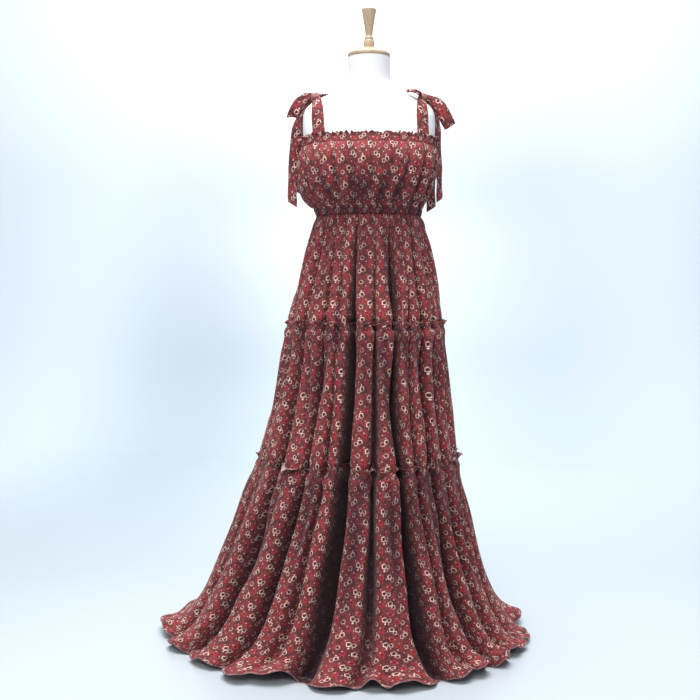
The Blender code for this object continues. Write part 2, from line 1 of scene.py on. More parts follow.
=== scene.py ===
"""Looks of a camisole dress with three gathered tiers and tied straps, worn by a limbless dress form.

Metres, +Z up, the front faces -Y. Angles run round the body from the front (0) over +X (90) to the
back (180).
"""

import logging
import math
from dataclasses import dataclass, field
from enum import Enum
from typing import Sequence

import bpy
import numpy as np
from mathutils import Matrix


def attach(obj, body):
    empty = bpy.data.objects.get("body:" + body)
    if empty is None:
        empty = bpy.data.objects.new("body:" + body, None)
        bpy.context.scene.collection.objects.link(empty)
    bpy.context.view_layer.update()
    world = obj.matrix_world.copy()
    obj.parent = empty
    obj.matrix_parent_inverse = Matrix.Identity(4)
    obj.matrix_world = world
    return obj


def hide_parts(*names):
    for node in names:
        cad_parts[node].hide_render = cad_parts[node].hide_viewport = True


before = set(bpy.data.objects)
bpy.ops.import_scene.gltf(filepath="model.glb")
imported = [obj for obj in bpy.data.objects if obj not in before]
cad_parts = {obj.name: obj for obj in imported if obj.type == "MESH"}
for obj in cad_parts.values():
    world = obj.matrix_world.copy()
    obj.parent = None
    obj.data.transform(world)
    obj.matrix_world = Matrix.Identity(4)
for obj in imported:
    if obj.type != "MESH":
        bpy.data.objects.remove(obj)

LOG = logging.getLogger("dress")
Grid = np.ndarray
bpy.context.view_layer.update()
CLOTH_THICKNESS = 0.0009
SEAM_GAP = 0.0002
WRAP_STEP = 0.3
VALLEY_STEEPNESS = 1.9
SWELL_HEIGHT = 0.0022
CREASE_DEPTH = 2.0
TUCK_DEPTH = 0.0030
GROOVE_DEPTH = 0.0022
CREASE_SHADE = 38.0
GATHER_SHADE = 0.85
HEADING_SHADE = 0.55
HEADING_EDGE = 0.0042
HEM_BAND = 0.075
HEM_WAVE = 0.0085
HEM_RISE = 0.0065
HEM_LOWEST = 0.0011
INNER_LOWEST = 0.0001
TOP_CASING = 0.013
WAIST_CASING = 0.020
STITCH_AT = 0.0075


class Side(Enum):
    """The wearer's sides, each with its sign along X and its strap's foot beside the middle, in metres."""

    LEFT = ("left", -1.0, 0.1165)
    RIGHT = ("right", 1.0, 0.1305)

    def __init__(self, label: str, sign: float, strap_foot: float) -> None:
        """Keeps the name used in nodes, the sign and the strap's place.

        Args:
            label: Name used in the nodes.
            sign: -1 or 1 along X.
            strap_foot: Metres beside the middle.
        """
        self.label = label
        self.sign = sign
        self.strap_foot = strap_foot


# Tables of the forms, with the same values as the solids


def table(names: str, *rows: Sequence[float]) -> dict[str, np.ndarray]:
    """Columns of a table by name.

    Args:
        names: The columns' names, parted by spaces.
        rows: One row of numbers for each section or fold.

    Returns:
        Each column as an array.
    """
    return {name: np.array(values, float) for name, values in zip(names.split(), zip(*rows))}


FORM = table(
    "z side front back square",
    (0.745, 0.118, 0.082, 0.088, 2.0), (0.790, 0.138, 0.096, 0.106, 2.0),
    (0.850, 0.140, 0.099, 0.110, 2.0), (0.920, 0.130, 0.094, 0.100, 2.0),
    (0.985, 0.118, 0.087, 0.084, 2.0), (1.050, 0.122, 0.088, 0.080, 2.0),
    (1.100, 0.136, 0.102, 0.084, 2.15), (1.160, 0.153, 0.117, 0.090, 2.3),
    (1.205, 0.158, 0.111, 0.093, 2.3), (1.250, 0.163, 0.094, 0.090, 2.3),
    (1.290, 0.163, 0.078, 0.080, 2.3), (1.306, 0.158, 0.071, 0.074, 2.3),
    (1.320, 0.145, 0.065, 0.069, 2.3), (1.332, 0.125, 0.061, 0.065, 2.2),
    (1.344, 0.100, 0.0580, 0.0615, 2.1), (1.356, 0.075, 0.0557, 0.0583, 2.0),
    (1.369, 0.0575, 0.0535, 0.0555, 2.0), (1.385, 0.0525, 0.0525, 0.0525, 2.0),
    (1.4351, 0.0525, 0.0525, 0.0525, 2.0),
)
BODICE = table(
    "front_z side_z back_z left front right back fold",
    (1.2290, 1.2180, 1.2200, 0.0052, 0.0052, 0.0052, 0.0052, 0.0000),
    (1.2150, 1.2040, 1.2060, 0.0066, 0.0070, 0.0064, 0.0062, 0.0010),
    (1.1880, 1.1790, 1.1800, 0.0180, 0.0180, 0.0140, 0.0110, 0.0050),
    (1.1540, 1.1500, 1.1500, 0.0240, 0.0240, 0.0170, 0.0150, 0.0075),
    (1.1180, 1.1150, 1.1150, 0.0290, 0.0280, 0.0140, 0.0190, 0.0085),
    (1.0820, 1.0820, 1.0820, 0.0270, 0.0230, 0.0130, 0.0170, 0.0075),
    (1.0600, 1.0600, 1.0600, 0.0130, 0.0110, 0.0080, 0.0090, 0.0035),
    (1.0440, 1.0440, 1.0440, 0.0060, 0.0050, 0.0045, 0.0045, 0.0010),
)
SKIRT = table(
    "crest_z valley_z left front right back fold",
    (1.0437, 1.0437, 0.1300, 0.0965, 0.1280, 0.0890, 0.0040),
    (1.0150, 1.0150, 0.1390, 0.1055, 0.1390, 0.1010, 0.0080),
    (0.9570, 0.9570, 0.1565, 0.1265, 0.1560, 0.1240, 0.0130),
    (0.8580, 0.8580, 0.1820, 0.1580, 0.1760, 0.1590, 0.0190),
    (0.7640, 0.7640, 0.2030, 0.1870, 0.1910, 0.1900, 0.0215),
    (0.6680, 0.6680, 0.2220, 0.2090, 0.2000, 0.2140, 0.0280),
    (0.5600, 0.5600, 0.2430, 0.2320, 0.2110, 0.2400, 0.0320),
    (0.4340, 0.4340, 0.2770, 0.2580, 0.2285, 0.2725, 0.0290),
    (0.3400, 0.3400, 0.3190, 0.2840, 0.2540, 0.3070, 0.0380),
    (0.2400, 0.2380, 0.3570, 0.3090, 0.2790, 0.3420, 0.0450),
    (0.1560, 0.1460, 0.3920, 0.3300, 0.3020, 0.3740, 0.0480),
    (0.0960, 0.0760, 0.4220, 0.3460, 0.3260, 0.4020, 0.0470),
    (0.0560, 0.0290, 0.4520, 0.3580, 0.3500, 0.4260, 0.0400),
    (0.0300, 0.0030, 0.4830, 0.3700, 0.3760, 0.4500, 0.0330),
    (0.0150, 0.0014, 0.5080, 0.3850, 0.4020, 0.4720, 0.0280),
)
FOLDS = table(
    "waist middle hem strength spread",
    (-76.0, -77.0, -79.0, 0.60, 0.27), (-54.0, -54.0, -62.0, 1.00, 0.24), (-36.0, -33.0, -43.0, 0.60, 0.27),
    (-24.0, -22.0, -31.0, 0.30, 0.26), (-14.0, -12.0, -18.5, 1.00, 0.26), (6.0, 4.0, -3.0, 0.50, 0.26),
    (24.0, 18.5, 26.0, 1.00, 0.25), (37.0, 29.0, 36.0, 0.35, 0.26), (50.0, 41.0, 47.0, 0.90, 0.26),
    (62.0, 54.0, 60.0, 0.70, 0.26), (77.0, 71.0, 75.0, 0.45, 0.27), (96.0, 94.0, 94.0, 0.85, 0.24),
    (114.0, 113.0, 115.0, 0.50, 0.25), (132.0, 132.0, 134.0, 0.95, 0.22), (151.0, 152.0, 154.0, 0.60, 0.25),
    (171.0, 172.0, 174.0, 1.00, 0.23), (190.0, 191.0, 193.0, 0.50, 0.25), (210.0, 211.0, 214.0, 0.95, 0.22),
    (231.0, 232.0, 236.0, 0.65, 0.25), (255.0, 256.0, 260.0, 0.90, 0.22),
)
HEM_LOBES = table(
    "angle reach width",
    (-98.0, 0.022, 8.0), (-34.0, 0.030, 7.0), (-10.0, 0.012, 7.0), (78.0, 0.012, 9.0), (140.0, 0.018, 12.0),
    (205.0, 0.022, 10.0),
)
DEEPER = table(
    "z extra half_width",
    (0.000, 0.006, 0.030), (0.050, 0.022, 0.028), (0.160, 0.066, 0.024), (0.300, 0.085, 0.019),
    (0.430, 0.080, 0.014), (0.460, 0.078, 0.013), (0.600, 0.076, 0.0125), (0.700, 0.058, 0.0112),
    (0.745, 0.044, 0.0100), (0.800, 0.038, 0.0090), (0.860, 0.033, 0.0084), (0.920, 0.025, 0.0074),
    (0.980, 0.013, 0.0062), (1.020, 0.005, 0.0048), (1.044, 0.000, 0.003),
)
LEAN_BACK = table(
    "z amount", (0.0, 0.008), (0.1, 0.030), (0.45, 0.030), (0.75, 0.022), (0.95, 0.010), (1.04, 0.0)
)
MIDDLE_Z = 0.600
WAIST_Z = 1.0437
SEAM_1_Z = 0.772
SEAM_2_Z = 0.443
FORM_CLEAR = 0.0055


# Curves and surfaces worked out as whole arrays


def curve_at(column: np.ndarray, place: np.ndarray) -> np.ndarray:
    """Smooth curve through each value of a column, read at fractional row numbers.

    Between two rows it is a cubic, whose slope at each row is half the step between that row's neighbours.

    Args:
        column: Values at rows 0, 1, 2 and so on, one or more numbers each.
        place: Row numbers at which to read the curve.

    Returns:
        The curve's values, with place's shape first.
    """
    column = np.asarray(column, float)
    padded = np.concatenate([2 * column[:1] - column[1:2], column, 2 * column[-1:] - column[-2:-1]])
    start = np.clip(np.floor(place).astype(int), 0, len(column) - 2)
    t = np.asarray(place - start).reshape(np.shape(place) + (1,) * (column.ndim - 1))
    a, b, c, d = (padded[start + k] for k in range(4))
    return 0.5 * (2 * b + (c - a) * t + (2 * a - 5 * b + 4 * c - d) * t**2 + (3 * b - a - 3 * c + d) * t**3)


def rise(value: np.ndarray, low: float, high: float) -> np.ndarray:
    """Smooth step from 0 at low to 1 at high: 3t^2 - 2t^3 of the clipped share t."""
    t = np.clip((value - low) / (high - low), 0.0, 1.0)
    return t * t * (3.0 - 2.0 * t)


def bell(value: Grid, width: Grid | float) -> Grid:
    """Bell-shaped curve: exp(-(value / width)^2)."""
    return np.exp(-((value / width) ** 2))


def ripple(turn: np.ndarray, count: float, shift: Grid | float) -> np.ndarray:
    """Sine with this many waves round the body, at places from 0 to 1, moved by a shift in radians."""
    return np.sin(math.tau * turn * count + shift)


def nearest_fold(along: np.ndarray, folds: int) -> tuple[np.ndarray, np.ndarray]:
    """The nearest valley's number at fold positions, and how far away it is, in folds.

    Args:
        along: Fold positions, 1 for each fold.
        folds: Number of folds round the body.

    Returns:
        Valley numbers, and distances up to a half.
    """
    whole = np.floor(along).astype(int)
    part = along - whole
    return np.where(part < 0.5, whole, whole + 1) % folds, np.where(part < 0.5, part, 1 - part)


def valley(away: np.ndarray, spread: np.ndarray | float) -> np.ndarray:
    """Share of a fold's depth at a distance from its valley: 1 / (1 + (1.9 away / spread)^3)."""
    return 1 / (1 + (VALLEY_STEEPNESS * (away / spread)) ** 3)


def oval(
    angle: Grid, left: Grid, front: Grid, right: Grid, back: Grid, square: Grid | float = 2.0
) -> tuple[Grid, Grid]:
    """Points on an oval with four half axes: |sin| and |cos| raised to 2 / square, times the half axes.

    Args:
        angle: Degrees round the body.
        left: Half axis towards -X.
        front: Half axis towards -Y.
        right: Half axis towards +X.
        back: Half axis towards +Y.
        square: 2 for an ellipse, and more for a squarer form.

    Returns:
        X and Y of each point.
    """
    s, c = np.sin(np.radians(angle)), np.cos(np.radians(angle))
    power = 2.0 / square
    x = np.where(s > 0, right, left) * np.sign(s) * np.abs(s) ** power
    y = -np.where(c > 0, front, back) * np.sign(c) * np.abs(c) ** power
    return x, y


def form_at(z: Grid) -> list[Grid]:
    """Half width, front depth, back depth and squareness of the form at heights z, on smooth curves."""
    place = np.interp(z, FORM["z"], np.arange(len(FORM["z"])))
    return [curve_at(FORM[name], place) for name in ("side", "front", "back", "square")]


def ring_normals(points: Grid, closed: bool = True) -> Grid:
    """Outward unit normals of a grid: the cross product of its steps down and along.

    Args:
        points: Grid, rows going down and columns round to the right.
        closed: Whether its last column meets its first.

    Returns:
        One unit vector for each point.
    """
    down = np.gradient(points, axis=0)
    if closed:
        along = np.roll(points, -1, axis=1) - np.roll(points, 1, axis=1)
    else:
        along = np.gradient(points, axis=1)
    normal = np.cross(down, along)
    return normal / np.maximum(np.linalg.norm(normal, axis=2, keepdims=True), 1e-12)


def arc_lengths(points: Grid, axis: int) -> Grid:
    """Running length along one axis of a grid, from 0.

    Args:
        points: Grid of points.
        axis: 0 down the columns, 1 along the rows.

    Returns:
        Metres from the first point, one number for each point.
    """
    steps = np.linalg.norm(np.diff(points, axis=axis), axis=2)
    pad = [(0, 0), (0, 0)]
    pad[axis] = (1, 0)
    return np.pad(np.cumsum(steps, axis=axis), pad)


def flat_places(across: Grid, along: Grid) -> Grid:
    """Texture places from metres across and along the cloth."""
    return np.stack(np.broadcast_arrays(across, along), axis=-1)


def round_lengths(ring: Grid) -> np.ndarray:
    """Running length round a closed ring of points, whose last value is the whole way round."""
    return arc_lengths(np.concatenate([ring, ring[:1]])[None], 1)[0]


@dataclass
class Gathers:
    """Small uneven ridges that stand out below or above a gathering line and die away from it.

    Each ridge is exp(-(distance along / width)^2) across, and (1 - exp(-x / 0.12)) exp(-x) down, where x is
    the distance from the line over the ridge's own length.
    """

    count: int
    seed: int
    height: float
    reach: float
    round_metres: float

    def bulge(self, along: np.ndarray, distance: np.ndarray) -> Grid:
        """How far the ridges stand out.

        Args:
            along: Metres along the gathering line, one for each column.
            distance: Metres from the gathering line, one for each row.

        Returns:
            Metres outwards, rows by columns.
        """
        random = np.random.default_rng(self.seed)
        pitch = self.round_metres / self.count
        centres = (np.arange(self.count) + random.uniform(-0.33, 0.33, self.count)) * pitch
        widths = pitch * random.uniform(0.26, 0.46, self.count)
        heights = self.height * random.uniform(0.35, 1.25, self.count)
        lengths = self.reach * random.uniform(0.45, 1.7, self.count)
        half = self.round_metres / 2
        away = (along[:, None] - centres[None, :] + half) % self.round_metres - half
        across = bell(away, widths) * heights
        share = np.maximum(distance, 0.0)[:, None] / lengths[None, :]
        down = (1.0 - np.exp(-share / 0.12)) * np.exp(-share)
        return down @ across.T


@dataclass
class Creases:
    """Long soft troughs at listed places: each leans as it falls, and fades at both ends."""

    rows: dict[str, np.ndarray]
    broader: float = 1.25

    def depth(self, angle: Grid, z: Grid, radius: Grid) -> Grid:
        """Metres inwards at each point.

        Args:
            angle: Degrees round the body.
            z: Heights.
            radius: Metres from the axis, which turn degrees into metres.

        Returns:
            Sum of the troughs, each depth * exp(-(distance / width)^2) * sin(pi t)^0.7 along its length,
            with the width made broader by the same share for all.
        """
        total = np.zeros(angle.shape)
        for start, top, bottom, depth, width, lean in zip(*self.rows.values()):
            t = np.clip((top - z) / (top - bottom), 0.0, 1.0)
            centre = start + lean * t
            away = np.radians((angle - centre + 180.0) % 360.0 - 180.0) * radius
            total += depth * bell(away, width * self.broader) * np.sin(np.pi * t) ** 0.7
        return total


# Meshes


def mesh_object(name: str, points: np.ndarray, faces: list, uv: np.ndarray | None = None,
                marks: dict[str, np.ndarray] | None = None) -> bpy.types.Object:
    """A smooth-shaded object from points and faces.

    Args:
        name: The piece's name.
        points: Its points, one row each.
        faces: Lists of point numbers.
        uv: Texture place of each point, in metres.
        marks: Named numbers for each point, which materials read as attributes.

    Returns:
        The new object, linked to the scene.
    """
    mesh = bpy.data.meshes.new(name)
    mesh.from_pydata(points.tolist(), [], faces)
    if uv is not None:
        corner = np.empty(len(mesh.loops), int)
        mesh.loops.foreach_get("vertex_index", corner)
        layer = mesh.uv_layers.new(name="cloth")
        layer.data.foreach_set("uv", uv[corner].ravel())
    for key, values in (marks or {}).items():
        attribute = mesh.attributes.new(key, "FLOAT", "POINT")
        attribute.data.foreach_set("value", np.asarray(values, np.float32).ravel())
    mesh.shade_smooth()
    obj = bpy.data.objects.new(name, mesh)
    bpy.context.scene.collection.objects.link(obj)
    return obj


def cloth_shell(name: str, outer: Grid, thickness: float, uv: Grid, marks: dict[str, Grid],
                floor: float | None = None) -> bpy.types.Object:
    """A thin closed shell of cloth: the outer grid, an inner one within it, and a rim between them.

    Args:
        name: The piece's name.
        outer: Grid of points, rows going down and columns round to the right.
        thickness: Metres between the two layers.
        uv: Texture place of each grid point.
        marks: Named numbers for each grid point. The mark "pale" becomes "reverse" on the inner layer,
            which is 0 on the outer one.
        floor: Lowest height of the inner layer.

    Returns:
        The new object.
    """
    inner = outer - ring_normals(outer, closed=False) * thickness
    if floor is not None:
        inner[..., 2] = np.maximum(inner[..., 2], floor)
    rows, columns = outer.shape[:2]
    half = rows * columns
    index = np.arange(half).reshape(rows, columns)
    quads = np.stack([index[:-1, :-1], index[1:, :-1], index[1:, 1:], index[:-1, 1:]], -1).reshape(-1, 4)
    rim = np.concatenate([index[0, :-1], index[:-1, -1], index[-1, :0:-1], index[:0:-1, 0]])
    after = np.roll(rim, -1)
    edge = np.stack([rim, after, after + half, rim + half], -1)
    faces = quads.tolist() + (quads[:, ::-1] + half).tolist() + edge.tolist()
    both = {key: np.concatenate([value.ravel(), value.ravel()]) for key, value in marks.items()}
    both["reverse"] = np.concatenate([np.zeros(half), both.pop("pale")[:half]])
    points = np.concatenate([outer.reshape(-1, 3), inner.reshape(-1, 3)])
    flat = uv.reshape(-1, 2)
    return mesh_object(name, points, faces, np.concatenate([flat, flat]), both)


def closed_tube(name: str, rings: Grid, uv: Grid | None = None) -> bpy.types.Object:
    """A closed body from rings of points that go down its side, with a flat cap at each end.

    Args:
        name: The piece's name.
        rings: Rings of points, the top one first.
        uv: Texture place of each point, if the finish needs it.

    Returns:
        The new object.
    """
    rows, columns = rings.shape[:2]
    index = np.arange(rows * columns).reshape(rows, columns)
    after = np.roll(index, -1, axis=1)
    quads = np.stack([index[:-1], index[1:], after[1:], after[:-1]], -1).reshape(-1, 4)
    faces = quads.tolist() + [index[0].tolist(), index[-1, ::-1].tolist()]
    return mesh_object(name, rings.reshape(-1, 3), faces, None if uv is None else uv.reshape(-1, 2))


def turned(
    name: str, profile: Sequence[tuple[float, float]], steps: int, smooth: int = 5
) -> bpy.types.Object:
    """A round piece: a (radius, height) profile from the top down, softened and spun about the axis.

    Args:
        name: The piece's name.
        profile: Radius and height of each corner.
        steps: Points in a ring.
        smooth: Rings between two corners.

    Returns:
        The new object.
    """
    points = np.array(profile, float)
    place = np.linspace(0, len(points) - 1, (len(points) - 1) * smooth + 1)
    start = np.minimum(np.floor(place).astype(int), len(points) - 2)
    share = (place - start)[:, None]
    line = points[start] * (1 - share) + points[start + 1] * share
    for _ in range(2):
        line[1:-1] = 0.25 * line[:-2] + 0.5 * line[1:-1] + 0.25 * line[2:]
    angle = np.linspace(0, math.tau, steps, endpoint=False)
    rings = np.stack([
        line[:, :1] * np.sin(angle), -line[:, :1] * np.cos(angle), np.repeat(line[:, 1:], steps, axis=1),
    ], -1)
    obj = closed_tube(name, rings)
    obj.data.set_sharp_from_angle(angle=math.radians(42))
    return obj


# Shader expressions


class Value:
    """A shader socket that takes part in Python expressions; each operator adds a Math node."""

    def __init__(self, tree: "Shader", socket: bpy.types.NodeSocket) -> None:
        """Keeps the socket and the material that it belongs to."""
        self.tree = tree
        self.socket = socket

    def _math(self, operation: str, *others: "Value | float") -> "Value":
        """A Math node of this value and the others."""
        return self.tree.node("ShaderNodeMath", {"operation": operation}, [self, *others])

    def __add__(self, other: "Value | float") -> "Value":
        """Sum."""
        return self._math("ADD", other)

    __radd__ = __add__

    def __mul__(self, other: "Value | float") -> "Value":
        """Product."""
        return self._math("MULTIPLY", other)

    __rmul__ = __mul__

    def __sub__(self, other: "Value | float") -> "Value":
        """Difference."""
        return self._math("SUBTRACT", other)

    def __rsub__(self, other: float) -> "Value":
        """A number less this value."""
        return self.tree.node("ShaderNodeMath", {"operation": "SUBTRACT"}, [other, self])

    def __pow__(self, other: float) -> "Value":
        """Power."""
        return self._math("POWER", other)

    def sin(self) -> "Value":
        """Sine of the value in radians."""
        return self._math("SINE")

    def cos(self) -> "Value":
        """Cosine of the value in radians."""
        return self._math("COSINE")

    def size(self) -> "Value":
        """The value without its sign."""
        return self._math("ABSOLUTE")

    def angle_from(self, x: "Value") -> "Value":
        """Angle whose height is this value and whose width is x."""
        return self._math("ARCTAN2", x)

    def wrap(self, half: float) -> "Value":
        """The value brought between -half and half, in repeats."""
        return self._math("WRAP", half, -half)

    def most(self, other: "Value | float") -> "Value":
        """The larger of two."""
        return self._math("MAXIMUM", other)

    def ramp(self, low: float, high: float) -> "Value":
        """Smooth step from 0 at low to 1 at high; low may be the larger."""
        inputs = {"Value": self, "From Min": low, "From Max": high}
        return self.tree.node("ShaderNodeMapRange", {"interpolation_type": "SMOOTHSTEP"}, inputs)


class Shader:
    """A Principled material whose nodes are added by expressions."""

    def __init__(self, name: str) -> None:
        """Starts an empty material with this name.

        Args:
            name: The material's name.
        """
        self.material = bpy.data.materials.new(name)
        self.material.use_nodes = True
        self.nodes = self.material.node_tree.nodes
        self.links = self.material.node_tree.links
        self.surface = self.nodes["Principled BSDF"]

    def node(self, kind: str, settings: dict | None = None, values: "dict | Sequence | None" = None,
             output: int | str = 0) -> Value:
        """Adds a node.

        Args:
            kind: The node's type.
            settings: Its properties, set before its inputs.
            values: Inputs by name or in order, each a number, a tuple or a Value to link.
            output: Which output to return.

        Returns:
            The output as a Value.
        """
        made = self.nodes.new(kind)
        for key, setting in (settings or {}).items():
            setattr(made, key, setting)
        pairs = values.items() if isinstance(values, dict) else enumerate(values or ())
        for key, value in pairs:
            self.feed(made.inputs[key], value)
        return Value(self, made.outputs[output])

    def feed(self, socket: bpy.types.NodeSocket, value: "Value | float | tuple") -> None:
        """Links a Value to a socket, or sets a constant on it."""
        if isinstance(value, Value):
            self.links.new(value.socket, socket)
        else:
            socket.default_value = value

    def other(self, value: Value, output: str) -> Value:
        """Another output of the node that a value came from."""
        return Value(self, value.socket.node.outputs[output])

    def mix(self, share: Value | float, first: Value | tuple, second: Value | tuple) -> Value:
        """Colour mix from first (share 0) to second (share 1); 6, 7 and 2 are the node's colour sockets."""
        return self.node("ShaderNodeMix", {"data_type": "RGBA"}, {"Factor": share, 6: first, 7: second}, 2)

    def bump(self, height: Value, strength: float, distance: float) -> Value:
        """A Bump node on a height in metres-like units."""
        inputs = {"Strength": strength, "Distance": distance, "Height": height}
        return self.node("ShaderNodeBump", None, inputs)

    def noise(
        self, place: Value, scale: float, detail: float, flat: bool = False, **inputs: float
    ) -> Value:
        """Noise in the place's own units, in a plane if it is flat.

        Args:
            place: Where it is read.
            scale: Its scale.
            detail: Its detail.
            flat: Whether it lies in a plane.
            inputs: Its other inputs by name.

        Returns:
            Values round 0.5.
        """
        settings = {"noise_dimensions": "2D"} if flat else None
        inputs = {"Vector": place, "Scale": scale, "Detail": detail, **inputs}
        return self.node("ShaderNodeTexNoise", settings, inputs)

    def mark(self, name: str) -> Value:
        """A number that the mesh holds for each point."""
        return self.node("ShaderNodeAttribute", {"attribute_name": name}, None, "Fac")

    def object_place(self) -> Value:
        """Place in the object's own metres."""
        return self.node("ShaderNodeTexCoord", None, None, "Object")

    def finish(self, **inputs: "Value | float | tuple") -> bpy.types.Material:
        """Feeds the Principled sockets, with _ for a space in each name, and returns the material."""
        for key, value in inputs.items():
            self.feed(self.surface.inputs[key.replace("_", " ")], value)
        return self.material


@dataclass(frozen=True)
class Flower:
    """A ring-shaped flower of the print's repeat, in millimetres; its turn is in radians."""

    x: float
    y: float
    radius: float
    stroke: float
    strength: float
    turn: float


@dataclass(frozen=True)
class PrintedCloth:
    """Brick-red light woven cloth with a small repeated flower print, and a paler reverse."""

    name: str = "brick_flower_cloth"
    ground: tuple = (0.238, 0.038, 0.043, 1.0)
    ground_dark: tuple = (0.098, 0.022, 0.024, 1.0)
    bloom: tuple = (0.370, 0.034, 0.043, 1.0)
    bloom_heart: tuple = (0.110, 0.006, 0.008, 1.0)
    cream: tuple = (0.860, 0.600, 0.510, 1.0)
    blush: tuple = (0.560, 0.220, 0.190, 1.0)
    leaf: tuple = (0.060, 0.021, 0.017, 1.0)
    speck: tuple = (0.045, 0.010, 0.010, 1.0)
    fleck: tuple = (0.440, 0.170, 0.150, 1.0)
    reverse: tuple = (0.740, 0.570, 0.540, 1.0)
    rim: tuple = (0.420, 0.235, 0.250, 1.0)
    # Near-black colour of the painted shade in folds, creases, between gathers and under headings.
    painted_shade_colour: tuple = (0.015, 0.007, 0.015, 1.0)
    repeat: tuple[float, float] = (0.064, 0.060)
    flowers: tuple[Flower, ...] = (
        Flower(0, 0, 5.2, 1.25, 1.00, 0.3), Flower(10.4, 2.0, 4.2, 1.05, 0.75, 2.1),
        Flower(14.5, 24.0, 5.0, 1.2, 0.95, 1.2), Flower(21.5, -27.5, 4.3, 1.1, 0.85, 4.0),
        Flower(-18.5, -20.5, 5.0, 1.2, 0.95, 5.2), Flower(-27.5, -16.0, 4.2, 1.0, 0.68, 0.9),
        Flower(-21.5, 10.0, 4.5, 1.1, 0.62, 2.6),
    )
    buds: tuple[tuple[float, float, float, float], ...] = (
        (1.0, 9.8, 2.4, 1.0), (9.0, 10.0, 1.6, 0.7), (-8.5, -8.5, 1.5, 0.7), (24.0, 15.5, 2.0, 0.85),
        (5.5, 27.5, 1.6, 0.75), (-10.5, 19.0, 1.8, 0.7), (28.5, -1.0, 1.5, 0.6),
        (8.0, -15.5, 1.6, 0.75), (-20.5, -29.0, 2.0, 0.85), (-28.0, 24.0, 1.5, 0.65),
        (20.0, -11.0, 1.4, 0.6),
    )
    blooms: tuple[tuple[float, float, float], ...] = (
        (13.5, -12.5, 8.5), (-7.5, 24.5, 8.0), (27.5, 7.0, 7.5), (-8.0, -27.5, 7.0), (-12.0, -3.0, 6.0),
    )

    def local(self, shader: Shader, place: Value, x: float, y: float) -> tuple[Value, Value]:
        """Millimetres right of and above a point of the repeat, wrapped into every repeat.

        Args:
            shader: The material in work.
            place: Texture place in metres.
            x: Millimetres to the right.
            y: Millimetres upwards.

        Returns:
            Distances right of and above the point.
        """
        split = shader.node("ShaderNodeSeparateXYZ", None, [place])
        across = (split * 1000.0 - x).wrap(self.repeat[0] * 500)
        return across, (shader.other(split, "Y") * 1000.0 - y).wrap(self.repeat[1] * 500)

    def ring(self, shader: Shader, place: Value, flower: Flower) -> tuple[Value, Value]:
        """Masks of a flower: its petals, a wavy ring that thins on one side, and the dark centre.

        Args:
            shader: The material in work.
            place: Texture place in metres.
            flower: The flower.

        Returns:
            Mask of the petals and mask of the centre.
        """
        x, y = self.local(shader, place, flower.x, flower.y)
        distance = (x * x + y * y) ** 0.5
        angle = y.angle_from(x)
        edge = ((angle * 5.0 + flower.turn).cos() * 0.12 + 1.0) * flower.radius
        band = (distance - edge).size().ramp(flower.stroke * 1.25, flower.stroke * 0.55)
        thin = (angle + flower.turn).cos().ramp(0.35, 0.95) * 0.65
        heart = distance.ramp(flower.radius * 0.85, flower.radius * 0.45)
        return band * (1.0 - thin) * flower.strength, heart

    def build(self) -> bpy.types.Material:
        """The whole material.

        Returns:
            The material.
        """
        shader = Shader(self.name)
        flat = shader.node("ShaderNodeUVMap", {"uv_map": "cloth"})
        wobble = shader.noise(flat, 150.0, 1.0, True)
        shifted = shader.node("ShaderNodeVectorMath", {"operation": "MULTIPLY_ADD"}, [
            shader.other(wobble, "Color"), (0.0022, 0.0022, 0.0), flat,
        ])
        patches = shader.noise(flat, 62.0, 2.5, True, Roughness=0.6)
        tone = shader.noise(flat, 13.0, 3.0, True)
        colour = shader.mix(patches.ramp(0.38, 0.58), self.ground_dark, self.ground)
        colour = shader.mix(tone.ramp(0.46, 0.66) * 0.55, colour, self.ground_dark)
        flecks = shader.noise(flat, 300.0, 2.0, True, Roughness=0.65)
        colour = shader.mix(flecks.ramp(0.45, 0.34) * 0.65, colour, self.speck)
        colour = shader.mix(flecks.ramp(0.58, 0.70) * 0.48, colour, self.fleck)

        for x, y, radius in self.blooms:
            across, along = self.local(shader, shifted, x, y)
            distance = (across * across + along * along) ** 0.5
            colour = shader.mix(distance.ramp(radius, radius * 0.55) * 0.80, colour, self.bloom)
            heart = distance.ramp(radius * 0.42, radius * 0.22)
            colour = shader.mix(heart * 0.85, colour, self.bloom_heart)
        for flower in self.flowers[:1] + self.flowers[2:3] + self.flowers[4:5]:
            across, along = self.local(shader, shifted, flower.x + 5.0, flower.y + 1.0)
            halo = ((across * across * 0.6 + along * along) ** 0.5 + patches * 6.0).ramp(13.0, 8.5)
            colour = shader.mix(halo * 0.55, colour, self.leaf)
        for flower in self.flowers:
            petals, heart = self.ring(shader, shifted, flower)
            colour = shader.mix(heart * 0.7 * flower.strength, colour, self.speck)
            petal = shader.mix(wobble.ramp(0.45, 0.75) * 0.4, self.cream, self.blush)
            colour = shader.mix(petals, colour, petal)
        for x, y, radius, strength in self.buds:
            across, along = self.local(shader, shifted, x, y)
            small = ((across * across + along * along) ** 0.5).ramp(radius * 1.15, radius * 0.55)
            colour = shader.mix(small * strength, colour, self.cream)

        # Painted shade: the print darkens towards a near-black colour as far as the mesh's painted-shade
        # mark says, in folds, creases, between gathers and under headings.
        deep = shader.mark("deep")
        colour = shader.mix(deep * 0.91, colour, self.painted_shade_colour)
        inside = shader.mark("reverse")
        edge = shader.mark("edge")
        # The casing's stitch line: a groove in the bump, darkened in colour as painted shade of that
        # groove.
        stitch = (edge - STITCH_AT).size().ramp(0.0013, 0.0004)
        colour = shader.mix(stitch * 0.55, colour, self.ground_dark)
        colour = shader.mix(edge.ramp(0.0044, 0.0018) * 0.5, colour, self.rim)
        faded = shader.mix(0.45, self.reverse, colour)
        colour = shader.mix(inside * 0.85, colour, faded)

